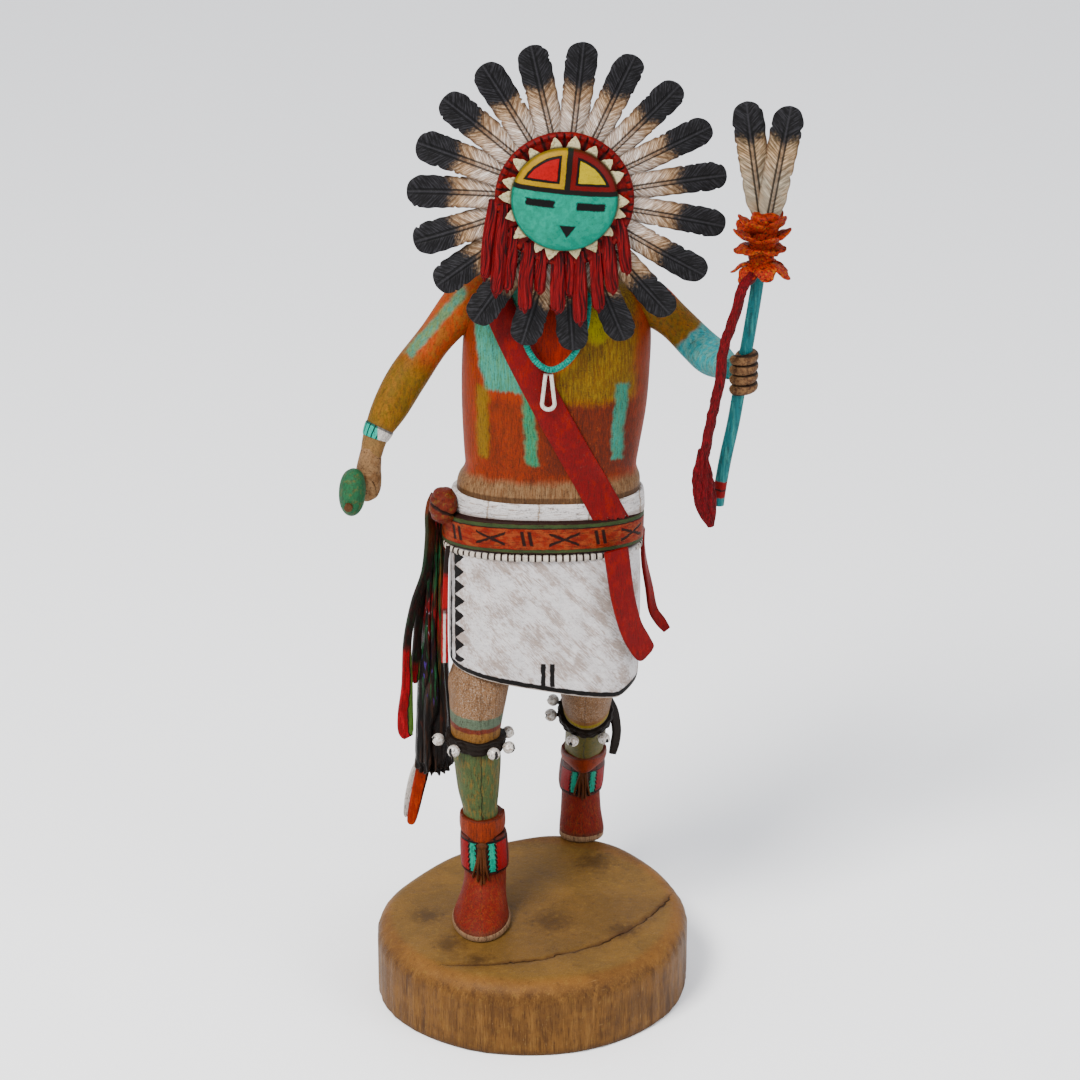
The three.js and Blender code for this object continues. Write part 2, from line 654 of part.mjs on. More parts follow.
/** The domed sun mask with its ring of corn-husk points. */
function makeFace() {
  const { radius, dome, rim } = FACE;
  const profile = [[0, 0], [radius - 0.8, 0], [radius - 0.8, rim + 0.4]];
  for (const a of [0, 30, 58]) {
    profile.push([radius * Math.cos(rad(a)) ** 0.9, rim + 0.5 + (dome - 0.5) * Math.sin(rad(a))]);
  }
  profile.push([0, rim + dome]);
  const disc = new THREE.LatheGeometry(profile.map(([r, h]) => new THREE.Vector2(r, h)), 22)
    .rotateX(Math.PI);
  const point = new THREE.Shape([[-HUSK.halfBase, HUSK.inner - 1], [HUSK.halfBase, HUSK.inner - 1],
    [HUSK.halfBase, HUSK.inner + 0.6], [0, HUSK.outer], [-HUSK.halfBase, HUSK.inner + 0.6]]
    .map(([x, y]) => new THREE.Vector2(x, y)));
  const points = Array.from({ length: HUSK.count }, (_, i) =>
    new THREE.ExtrudeGeometry(point, { depth: rim, bevelEnabled: false })
      .rotateX(Math.PI / 2).rotateY(((i + 0.5) / HUSK.count) * 2 * Math.PI));
  return geometryFrom(join(disc, ...points)).translate(HEAD.x, FACE.back, HEAD.z + FACE.lift);
}

/** The dyed hair: a disc behind the mask and seven locks that hang from it. */
function makeHair() {
  const ring = new THREE.LatheGeometry(
    [[0, -HAIR.back], [HAIR.radius - 0.8, -HAIR.back], [HAIR.radius, -HAIR.back + 0.8],
      [HAIR.radius - 1, -HAIR.front], [0, -HAIR.front]]
      .map(([r, h]) => new THREE.Vector2(r, h)), 22)
    .rotateX(Math.PI).translate(HEAD.x, 0, HEAD.z);
  const locks = Array.from({ length: HAIR.locks }, (_, i) => {
    const s = (i / (HAIR.locks - 1)) * 2 - 1;
    const top = [HEAD.x - 1 + 21.4 * s, HEAD.z - 23.6 * Math.sqrt(1 - 0.86 * s * s)];
    const end = [HEAD.x - 3.4 + 23.4 * s, 279.6 + 12.4 * s * s + 2.2 * Math.cos(i * Math.PI)];
    const mid = [(top[0] + end[0]) / 2 - 0.8, (top[1] + end[1]) / 2];
    return limb([
      [top[0], -18.2, top[1] + 1.5, 2.5, 1.1],
      [mid[0], -19.6, mid[1], 2.9, 1.5],
      [end[0], -19.8, end[1] + 4, 2.2, 1.4],
      [end[0] - 0.3, -19.6, end[1], 0.7, 0.6],
    ], { sides: 5, steps: 3 });
  });
  return geometryFrom(join(ring, ...locks));
}

/** The head behind the mask, with a socket for the neck. */
function makeSkull() {
  const rows = 4;
  const profile = [[0, 0], [SKULL.radius - 0.6, 0], [SKULL.radius, 0.6]];
  for (let i = 1; i < rows; i++) {
    const s = i / rows;
    profile.push([SKULL.radius * Math.sqrt(1 - s ** 3), (SKULL.back - SKULL.front) * s]);
  }
  profile.push([0, SKULL.back - SKULL.front]);
  const block = new THREE.LatheGeometry(profile.map(([r, h]) => new THREE.Vector2(r, h)), 20)
    .translate(HEAD.x, SKULL.front, HEAD.z);
  return geometryFrom(solidOf(block).subtract(solidOf(torsoShape(GAP)))
);
}

// ---------------------------------------------------------------------- arms

/** A shape with room cut for its neighbours; slivers left over are dropped. */
function carvedFree(shape, ...keepOut) {
  const bodies = keepOut.reduce((sum, k) => sum.subtract(k), shape).decompose();
  return geometryFrom(bodies.sort((a, b) => b.volume() - a.volume())[0]);
}

function rattleHandle(grow) {
  const [x, y, z] = RATTLE.at;
  const r = RATTLE.handle + grow;
  return limb([[x - 1.2, y - 8.2, z - 3.2, r, r], [x, y, z - 3, r, r], [x + 5.2, y + 10.4, z - 2, r, r],
    [x + 7.4, y + 17, z - 1.6, r, r]], { sides: 8, steps: 4 });
}

/** The rod, or with grow the room that a piece round it leaves, past its top too. */
function staffRod(grow = 0) {
  const points = STAFF.line.map(([x, z]) => [x, STAFF.depth, z]);
  const [x, y, z] = points[points.length - 1];
  if (grow) points.push([x + 0.1, y, z + grow + 1]);
  return tube(points, STAFF.radius + grow, 8, 10);
}

function addArms() {
  const trunk = solidOf(torsoShape(GAP));
  const right = solidOf(limb(RIGHT_ARM)).add(solidOf(limb(RIGHT_FIST, { steps: 5 })));
  const held = [rattleHandle(GAP), gourdShape(GAP), bandolierShape(GAP)].map(solidOf);
  piece("right_arm", carvedFree(right, trunk, ...held), PAINT.ochre);

  const grip = lump(LEFT_FIST.at, LEFT_FIST.size, LEFT_FIST.power, 12, 7);
  const left = solidOf(limb(LEFT_ARM)).add(solidOf(grip));
  piece("left_arm", carvedFree(left, trunk, solidOf(staffRod(GAP))), PAINT.ochre);

  const { from, to } = WRISTBAND;
  const cuff = solidOf(limb(RIGHT_ARM, { steps: 2, grow: 2 * GAP + WRISTBAND.grow, from, to }));
  const hole = solidOf(limb(RIGHT_ARM, { steps: 3, grow: 1.5 * GAP, from: from - 0.05, to: to + 0.05 }));
  piece("wristband", carvedFree(cuff, hole), PAINT.teal);
}

function gourdShape(grow) {
  return lump([0, 0, 0], RATTLE.size.map((r) => r + grow), 2.1, 12, 8)
    .rotateY(rad(RATTLE.lean)).translate(...RATTLE.at);
}

function addRattle() {
  piece("gourd_rattle", geometryFrom(join(gourdShape(0), rattleHandle(0))), PAINT.green);
}

// --------------------------------------------------------------------- staff

/** One cupped petal of the staff's blossom, pointing along +X. */
function petal(reach) {
  return limb([[2, 0, 0, 0.8, 1.6], [reach * 0.7, 0, 2.4, 0.8, 3.6], [reach, 0, 5.4, 0.4, 0.6]],
    { sides: 4 });
}

function addStaff() {
  piece("staff_rod", staffRod(), PAINT.blue);
  const [collar, top] = STAFF.line.slice(-2);
  const petals = [];
  for (const [height, reach, count] of BLOSSOM.tiers) {
    for (let i = 0; i < count; i++) {
      const turn = ((i + (count % 2 ? 0.4 : 0)) / count) * 2 * Math.PI;
      petals.push(petal(reach).rotateZ(turn).translate(collar[0] - 0.4, STAFF.depth, height));
    }
  }
  const core = loft(BLOSSOM.core.map(([z, x, r]) => [z, x, STAFF.depth, r, r]), { sides: 10 });
  const quills = [];
  for (const [name, x, y, lean, length] of [["a", 0, 1.1, -8.6, 42.5], ["b", 0, -1.1, 9.4, 41.5]]) {
    const size = { quill: 2.2, shoulder: 3.6, widest: 6.4, thick: 1.4 };
    const shape = featherShape(length, size, 0).rotateY(rad(lean))
      .translate(top[0] + x + lean * 0.13, STAFF.depth + y, top[1] + 1.4);
    piece(`staff_feather_${name}`, shape, PAINT.feather);
    quills.push(solidOf(featherShape(length, { ...size, quill: 2.6, shoulder: 4, thick: 2 }, 0)
      .rotateY(rad(lean)).translate(top[0] + x + lean * 0.13, STAFF.depth + y, top[1] + 1)));
  }
  const yarn = solidOf(tube(YARN, 2, 6, 10)).add(solidOf(limb(TASSEL, { sides: 8 })));
  const yarnRoom = solidOf(tube(YARN, 2 + 1.5 * GAP, 6, 10));
  const blossom = [core, ...petals].map(solidOf).reduce((sum, s) => sum.add(s));
  piece("staff_blossom", carvedFree(blossom, solidOf(staffRod(GAP)), yarnRoom, ...quills), PAINT.orange);
  piece("staff_yarn", geometryFrom(yarn), PAINT.red);
}

// ------------------------------------------------------------- sash and bells

function addSash() {
  const room = join(beltShape(GAP), waistbandShape(GAP), torsoShape(GAP), kiltShape(GAP));
  const knot = (grow) =>
    lump(SASH_KNOT.at, SASH_KNOT.size.map((r) => r + grow), SASH_KNOT.power);
  const tail = (stations, ...keepOut) =>
    carvedFree(solidOf(strip(stations, TAIL_THICK)), ...keepOut);
  piece("sash_knot", carvedFree(solidOf(knot(0)), room), PAINT.brick);
  piece("sash_tail_outer", tail(OUTER_TAIL, room, solidOf(knot(GAP))), PAINT.green);
  piece("sash_tail_inner", tail(INNER_TAIL, room), PAINT.green);
  const panel = solidOf(loft(SIDE_SASH, { sides: 12, power: 2.6 }));
  const innerRoom = solidOf(strip(INNER_TAIL, TAIL_THICK, GAP));
  piece("side_sash", carvedFree(panel, room, innerRoom), PAINT.dark);
  piece("sash_tip", strip(SASH_TIP, TAIL_THICK), PAINT.brick);
  piece("bandolier_tail_front", tail(STRAP_FRONT_TAIL, room), PAINT.red);
  piece("bandolier_tail_back", tail(STRAP_BACK_TAIL, room), PAINT.red);
}

function addBells() {
  for (const { side, at, along, around, bellsAt } of KNEES) {
    const axis = vec(...along).normalize();
    const turn = new THREE.Quaternion().setFromUnitVectors(vec(0, 0, 1), axis);
    const place = (shape) => shape.applyQuaternion(turn).translate(...at);
    const reach = around + GAP + STRAP.thick;
    const ring = place(loft([-1, 1].map((end) => [end * STRAP.halfHeight, 0, 0, reach, reach]),
      { sides: 14 }));
    let strap = solidOf(ring);
    if (side === "left") {
      strap = strap.add(solidOf(strip(STRAP.loose, TAIL_THICK)));
    }
    const leg = side === "right" ? frontLegShape(GAP) : backLegShape(GAP);
    piece(`bell_strap_${side}`, carvedFree(strap, solidOf(leg)), PAINT.dark);
    bellsAt.forEach((degrees, i) => {
      const out = around + STRAP.thick + 2.4 * GAP + BELL.radius;
      const bell = new THREE.SphereGeometry(BELL.radius, BELL.sides, BELL.rows);
      const spot = vec(out * Math.cos(rad(degrees)), out * Math.sin(rad(degrees)), -0.4);
      piece(`bell_${side}_${i + 1}`, bell, PAINT.silver).position
        .copy(spot.applyQuaternion(turn).add(vec(...at)));
    });
  }
}

// ------------------------------------------------------------------ assembly

piece("root_base", makeBase(), PAINT.root);
piece("figure", makeFigure(), PAINT.skin);
addArms();
addRattle();
addStaff();
piece("head_block", makeSkull(), PAINT.teal);
piece("sun_face", makeFace(), PAINT.teal);
piece("hair_fringe", makeHair(), PAINT.red);
addCrown();
piece("bandolier", bandolierShape(), PAINT.red);
piece("necklace", necklaceShape(), PAINT.teal);
piece("shell_pendant", makePendant(), PAINT.white)
  .position.set(PENDANT.x, chestFront(PENDANT.x, 250) - PENDANT.stand, PENDANT.top);
addSash();
addBells();

export default doll;
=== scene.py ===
"""A carved and painted wooden sun dancer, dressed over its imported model.

Every size in this file is in millimetres in the row's own frame: +Z is up, the
figure faces -Y, and its left hand is on the +X side. Meshes are written in
metres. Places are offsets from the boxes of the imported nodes.
"""

import logging
import math
import random
from dataclasses import dataclass, field
from enum import Enum
from typing import Callable, Iterable, Sequence

import bmesh
import bpy
from mathutils import Matrix, Vector


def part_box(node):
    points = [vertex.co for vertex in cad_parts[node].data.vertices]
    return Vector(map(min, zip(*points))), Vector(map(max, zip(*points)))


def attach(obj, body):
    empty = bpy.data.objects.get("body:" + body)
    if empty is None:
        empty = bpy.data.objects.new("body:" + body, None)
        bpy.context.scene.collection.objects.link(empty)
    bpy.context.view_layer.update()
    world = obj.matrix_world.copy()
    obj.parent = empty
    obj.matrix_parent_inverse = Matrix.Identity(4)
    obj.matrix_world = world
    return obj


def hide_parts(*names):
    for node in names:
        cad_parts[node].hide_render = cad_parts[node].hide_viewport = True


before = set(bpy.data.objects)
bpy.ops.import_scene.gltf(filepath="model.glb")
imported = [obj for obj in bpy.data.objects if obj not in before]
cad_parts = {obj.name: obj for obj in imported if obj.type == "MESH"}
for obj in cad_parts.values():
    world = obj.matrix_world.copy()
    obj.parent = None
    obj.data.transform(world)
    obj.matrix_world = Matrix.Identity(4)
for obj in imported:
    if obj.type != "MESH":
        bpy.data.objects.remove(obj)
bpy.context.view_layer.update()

LOG = logging.getLogger("sun_dancer")
MM = 0.001
BODY = "root"
TURN = 2 * math.pi
# How far every colour is deepened, for the strength of the studio's light.
PIGMENT = 0.74
# How much of that light every coat throws straight back.
GLOSS = 0.08

Row = Sequence[float]
Paint = tuple[float, float, float]


# ------------------------------------------------------------------ the frame


def centre(node: str) -> Vector:
    """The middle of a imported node's box.

    Args:
        node: The node's name.

    Returns:
        The point, in millimetres.
    """
    low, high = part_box(node)
    return (Vector(low) + Vector(high)) / 2 / MM


# ------------------------------------------------------------- plain geometry


def mixed(a: float, b: float, t: float) -> float:
    """The number a share t of the way from a to b."""
    return a + (b - a) * t


def eased(low: float, high: float, value: float) -> float:
    """A smooth step from 0 at low to 1 at high."""
    t = min(max((value - low) / (high - low), 0.0), 1.0)
    return t * t * (3 - 2 * t)


def between(stations: Sequence[Row], t: float) -> list[float]:
    """A smooth value along a list of stations.

    Args:
        stations: Rows of numbers of equal length.
        t: The place along the list, from 0 to 1.

    Returns:
        One row, worked out by a cubic through the nearest four stations.
    """
    span = len(stations) - 1
    t = min(max(t, 0.0), 1.0)
    i = min(int(t * span), span - 1)
    u = t * span - i
    p, a, b, q = (stations[min(max(k, 0), span)] for k in (i - 1, i, i + 1, i + 2))
    u2, u3 = u * u, u * u * u
    weights = (2 * u3 - 3 * u2 + 1, u3 - 2 * u2 + u, 3 * u2 - 2 * u3, u3 - u2)
    rows = zip(p, a, b, q)
    return [
        weights[0] * v + weights[1] * (w - o) / 2 + weights[2] * w + weights[3] * (e - v) / 2
        for o, v, w, e in rows
    ]


def superellipse(angle: float, power: float) -> tuple[float, float]:
    """A point of the unit superellipse: a circle at power 2, squarer above it."""
    c, s = math.cos(angle), math.sin(angle)
    return (
        math.copysign(abs(c) ** (2 / power), c),
        math.copysign(abs(s) ** (2 / power), s),
    )


def level_ring(row: Row, at: Vector, sides: int, power: float = 2.0) -> list[Vector]:
    """A level oval.

    Args:
        row: Height, x, y, half width and half depth, measured from `at`.
        at: The point the row is measured from.
        sides: How many points the oval has.
        power: How square it is.

    Returns:
        The points, in millimetres.
    """
    z, x, y, a, b = row[:5]
    spots = (superellipse(j / sides * TURN, power) for j in range(sides))
    return [at + Vector((x + c * a, y + s * b, z)) for c, s in spots]


def level_rings(
    stations: Sequence[Row], at: Vector, sides: int, steps: int, power: float = 2.0
) -> list[list[Vector]]:
    """Level ovals through stations, evenly spaced along the list."""
    return [
        level_ring(between(stations, i / steps), at, sides, power) for i in range(steps + 1)
    ]


def limb_rings(
    stations: Sequence[Row],
    at: Vector,
    sides: int,
    steps: int,
    shape: Callable[[float, float], float] = lambda angle, t: 1.0,
) -> list[list[Vector]]:
    """Ovals square to a smooth line.

    Args:
        stations: Rows of x, y, z, radius across and radius deep, from `at`.
        at: The point the rows are measured from.
        sides: How many points each oval has.
        steps: How many ovals follow the first.
        shape: Scales the radius at an angle and a place along the limb.

    Returns:
        The rings, in millimetres.
    """
    rings = []
    for i in range(steps + 1):
        t = i / steps
        x, y, z, across, deep = between(stations, t)[:5]
        ahead = Vector(between(stations, t + 0.01)[:3])
        way = (ahead - Vector(between(stations, t - 0.01)[:3])).normalized()
        side = Vector((0, 1, 0)).cross(way).normalized()
        front = way.cross(side)
        ring = []
        for j in range(sides):
            angle = j / sides * TURN
            scale = shape(angle, t)
            ring.append(
                at + Vector((x, y, z))
                + side * (math.cos(angle) * across * scale)
                + front * (math.sin(angle) * deep * scale)
            )
        rings.append(ring)
    return rings


def section_at(stations: Sequence[Row], z: float) -> list[float]:
    """The level section of a list of stations at a height."""
    last = len(stations) - 1
    i = 0
    while i < last - 1 and z > stations[i + 1][0]:
        i += 1
    low, high = stations[i][0], stations[i + 1][0]
    return between(stations, (i + min(max((z - low) / (high - low), 0), 1)) / last)


def girth(ring: Sequence[Vector]) -> float:
    """The length of a closed ring of points."""
    return sum((b - a).length for a, b in zip(ring, (*ring[1:], ring[0])))


def arc_at(ring: Sequence[Vector], x: float) -> float:
    """How far round a ring its front lies at an x."""
    middle = sum((point.y for point in ring)) / len(ring)
    front = [k for k, point in enumerate(ring) if point.y < middle]
    best = min(front, key=lambda k: abs(ring[k].x - x))
    return sum((ring[k + 1] - ring[k]).length for k in range(best))


# ------------------------------------------------------------- the work bench


class Bench:
    """Makes and finishes meshes with Blender's own edit tools."""

    @staticmethod
    def clear() -> None:
        """Leaves edit mode and selects nothing."""
        if bpy.context.object and bpy.context.object.mode != "OBJECT":
            bpy.ops.object.mode_set(mode="OBJECT")
        bpy.ops.object.select_all(action="DESELECT")

    @staticmethod
    def hold(piece: bpy.types.Object) -> bpy.types.Object:
        """Makes a piece the only one selected, and the active one."""
        Bench.clear()
        piece.select_set(True)
        bpy.context.view_layer.objects.active = piece
        return piece

    @staticmethod
    def named(name: str) -> bpy.types.Object:
        """Names the active object and its mesh."""
        piece = bpy.context.object
        piece.name = piece.data.name = name
        return piece

    @staticmethod
    def place(piece: bpy.types.Object, points: Iterable[Vector]) -> None:
        """Puts a mesh's vertices at points given in millimetres."""
        flat = [value * MM for point in points for value in point]
        piece.data.vertices.foreach_set("co", flat)
        piece.data.update()

    @staticmethod
    def loft(
        name: str,
        rings: Sequence[Sequence[Vector]],
        closed: bool = False,
        across: Sequence[Sequence[float]] | None = None,
    ) -> bpy.types.Object:
        """Extrudes a circle of vertices through rings of points.

        The mesh gets a UV map in millimetres: u runs round the rings and v along
        them. Where `across` is given, u is that instead.

        Args:
            name: The piece's name.
            rings: Rings of equal length, in millimetres.
            closed: Joins the last ring to the first in place of closing the ends.
            across: For each point its distance from a middle line.

        Returns:
            The new object.
        """
        Bench.clear()
        count = len(rings[0])
        bpy.ops.mesh.primitive_circle_add(vertices=count, radius=MM, calc_uvs=True)
        piece = Bench.named(name)
        bpy.ops.object.mode_set(mode="EDIT")
        bpy.ops.mesh.select_all(action="SELECT")
        for _ in rings[1:]:
            bpy.ops.mesh.extrude_region_move()
        bpy.ops.object.mode_set(mode="OBJECT")
        order = Bench.ring_order(piece, count, len(rings))
        points: list[Vector] = [Vector()] * (count * len(rings))
        for i, ring in enumerate(order):
            for j, vertex in enumerate(ring):
                points[vertex] = rings[i][j]
        Bench.place(piece, points)
        Bench.lay_uv(piece, order, rings, across)
        bpy.ops.object.mode_set(mode="EDIT")
        bpy.ops.mesh.select_all(action="SELECT")
        if closed:
            bpy.ops.mesh.select_all(action="DESELECT")
            bpy.ops.mesh.select_non_manifold()
            bpy.ops.mesh.bridge_edge_loops()
        else:
            bpy.ops.mesh.fill_holes(sides=0)
        Bench.turn_out()
        bpy.ops.object.mode_set(mode="OBJECT")
        return piece

    @staticmethod
    def ring_order(piece: bpy.types.Object, count: int, rings: int) -> list[list[int]]:
        """The vertex numbers of each extruded ring, in step with the first."""
        links: dict[int, list[int]] = {}
        for edge in piece.data.edges:
            a, b = edge.vertices
            links.setdefault(a, []).append(b)
            links.setdefault(b, []).append(a)
        order = [list(range(count))]
        for _ in range(rings - 1):
            order.append([max(links[vertex]) for vertex in order[-1]])
        return order

    @staticmethod
    def lay_uv(
        piece: bpy.types.Object,
        order: list[list[int]],
        rings: Sequence[Sequence[Vector]],
        across: Sequence[Sequence[float]] | None,
    ) -> None:
        """Writes the UV map of a loft, with its seam at the first vertex of each ring."""
        middle = rings[len(rings) // 2]
        round_it = [0.0]
        for a, b in zip(middle, (*middle[1:], middle[0])):
            round_it.append(round_it[-1] + (b - a).length)
        along = [0.0]
        for low, high in zip(rings, rings[1:]):
            gaps = [(b - a).length for a, b in zip(low, high)]
            along.append(along[-1] + sum(gaps) / len(gaps))
        place = {
            vertex: (j, i) for i, ring in enumerate(order) for j, vertex in enumerate(ring)
        }
        count = len(order[0])
        layer = piece.data.uv_layers.active or piece.data.uv_layers.new(name="UVMap")
        for face in piece.data.polygons:
            spots = [place[piece.data.loops[k].vertex_index] for k in face.loop_indices]
            wraps = max(j for j, _ in spots) - min(j for j, _ in spots) > 1
            for k, (j, i) in zip(face.loop_indices, spots):
                u = across[i][j] if across else round_it[count if wraps and j == 0 else j]
                layer.data[k].uv = (u, along[i])

    @staticmethod
    def spin(
        name: str, profile: Sequence[Row], steps: int, at: Vector, axis: Vector
    ) -> bpy.types.Object:
        """Draws a profile by extruding a vertex, and spins it round an axis.

        Args:
            name: The piece's name.
            profile: Rows of radius and height along the axis, in millimetres.
            steps: How many turns make the circle.
            at: The profile's origin.
            axis: The direction of its height.

        Returns:
            The new object.
        """
        Bench.clear()
        axis = axis.normalized()
        side = axis.orthogonal().normalized()
        points = [(at + side * r + axis * h) * MM for r, h in profile]
        bpy.ops.mesh.primitive_plane_add(size=MM, location=points[0])
        piece = Bench.named(name)
        bpy.ops.object.transform_apply(location=True)
        bpy.ops.object.mode_set(mode="EDIT")
        bpy.ops.mesh.select_all(action="SELECT")
        bpy.ops.mesh.merge(type="CENTER")
        for here, there in zip(points, points[1:]):
            bpy.ops.mesh.extrude_region_move(TRANSFORM_OT_translate={"value": there - here})
        bpy.ops.mesh.select_all(action="SELECT")
        bpy.ops.mesh.spin(steps=steps, angle=TURN, center=at * MM, axis=axis)
        bpy.ops.mesh.select_all(action="SELECT")
        bpy.ops.mesh.remove_doubles(threshold=MM * 0.01)
        bpy.ops.mesh.fill_holes(sides=0)
        Bench.turn_out()
        bpy.ops.object.mode_set(mode="OBJECT")
        return piece

    @staticmethod
    def turn_out() -> None:
        """In edit mode: makes every face look outwards."""
        bpy.ops.mesh.select_all(action="SELECT")
        bpy.ops.mesh.normals_make_consistent(inside=False)

    @staticmethod
    def modify(piece: bpy.types.Object, kind: str, **settings: object) -> bpy.types.Object:
        """Adds a modifier, sets it and applies it."""
        Bench.hold(piece)
        modifier = piece.modifiers.new(kind.title(), kind)
        for key, value in settings.items():
            setattr(modifier, key, value)
        bpy.ops.object.modifier_apply(modifier=modifier.name)
        return piece

    @staticmethod
    def smooth(piece: bpy.types.Object, degrees: float = 40.0) -> bpy.types.Object:
        """Shades a piece smooth, with the edges over an angle kept sharp."""
        Bench.hold(piece)
        bpy.ops.object.shade_smooth_by_angle(angle=math.radians(degrees))
        return piece

    @staticmethod
    def copied(piece: bpy.types.Object, name: str, move: Matrix) -> bpy.types.Object:
        """A copy of a piece with a mesh of its own, moved by a matrix in metres."""
        twin = piece.copy()
        twin.data = piece.data.copy()
        twin.name = twin.data.name = name
        bpy.context.collection.objects.link(twin)
        twin.data.transform(move)
        return twin

    @staticmethod
    def joined(name: str, pieces: Sequence[bpy.types.Object]) -> bpy.types.Object:
        """Joins pieces into one object."""
        Bench.hold(pieces[0])
        for piece in pieces[1:]:
            piece.select_set(True)
        bpy.ops.object.join()
        return Bench.named(name)

    @staticmethod
    def push(piece: bpy.types.Object, shape: Callable[[Vector, Vector], float]) -> None:
        """Carves a mesh: moves each vertex along its normal, and keeps by how much.

        Args:
            piece: The mesh object.
            shape: Gives the move in millimetres, from the place and the normal.
        """
        mesh = bmesh.new()
        mesh.from_mesh(piece.data)
        mesh.normal_update()
        moves = [
            vertex.normal * (shape(vertex.co / MM, vertex.normal) * MM) for vertex in mesh.verts
        ]
        for vertex, move in zip(mesh.verts, moves):
            vertex.co += move
        depths = [move.dot(vertex.normal) / MM for vertex, move in zip(mesh.verts, moves)]
        mesh.to_mesh(piece.data)
        mesh.free()
        carved = piece.data.attributes.new("carved", "FLOAT", "POINT")
        carved.data.foreach_set("value", depths)
        piece.data.update()


# ----------------------------------------------------------- a material graph


class Value:
    """A socket of a material's graph that takes part in plain arithmetic."""

    def __init__(self, graph: "Graph", socket: bpy.types.NodeSocket) -> None:
        """Keeps the graph and the socket."""
        self.graph = graph
        self.socket = socket

    def __add__(self, other: "Number") -> "Value":
        """Sum."""
        return self.graph.math("ADD", self, other)

    def __sub__(self, other: "Number") -> "Value":
        """Difference."""
        return self.graph.math("SUBTRACT", self, other)

    def __rsub__(self, other: "Number") -> "Value":
        """Difference from a plain number."""
        return self.graph.math("SUBTRACT", other, self)

    def __mul__(self, other: "Number") -> "Value":
        """Product."""
        return self.graph.math("MULTIPLY", self, other)

    def __truediv__(self, other: "Number") -> "Value":
        """Quotient."""
        return self.graph.math("DIVIDE", self, other)

    __radd__ = __add__
    __rmul__ = __mul__

    def __neg__(self) -> "Value":
        """The same with its sign turned."""
        return self * -1.0

    def __abs__(self) -> "Value":
        """Size without sign."""
        return self.graph.math("ABSOLUTE", self)


Number = Value | float


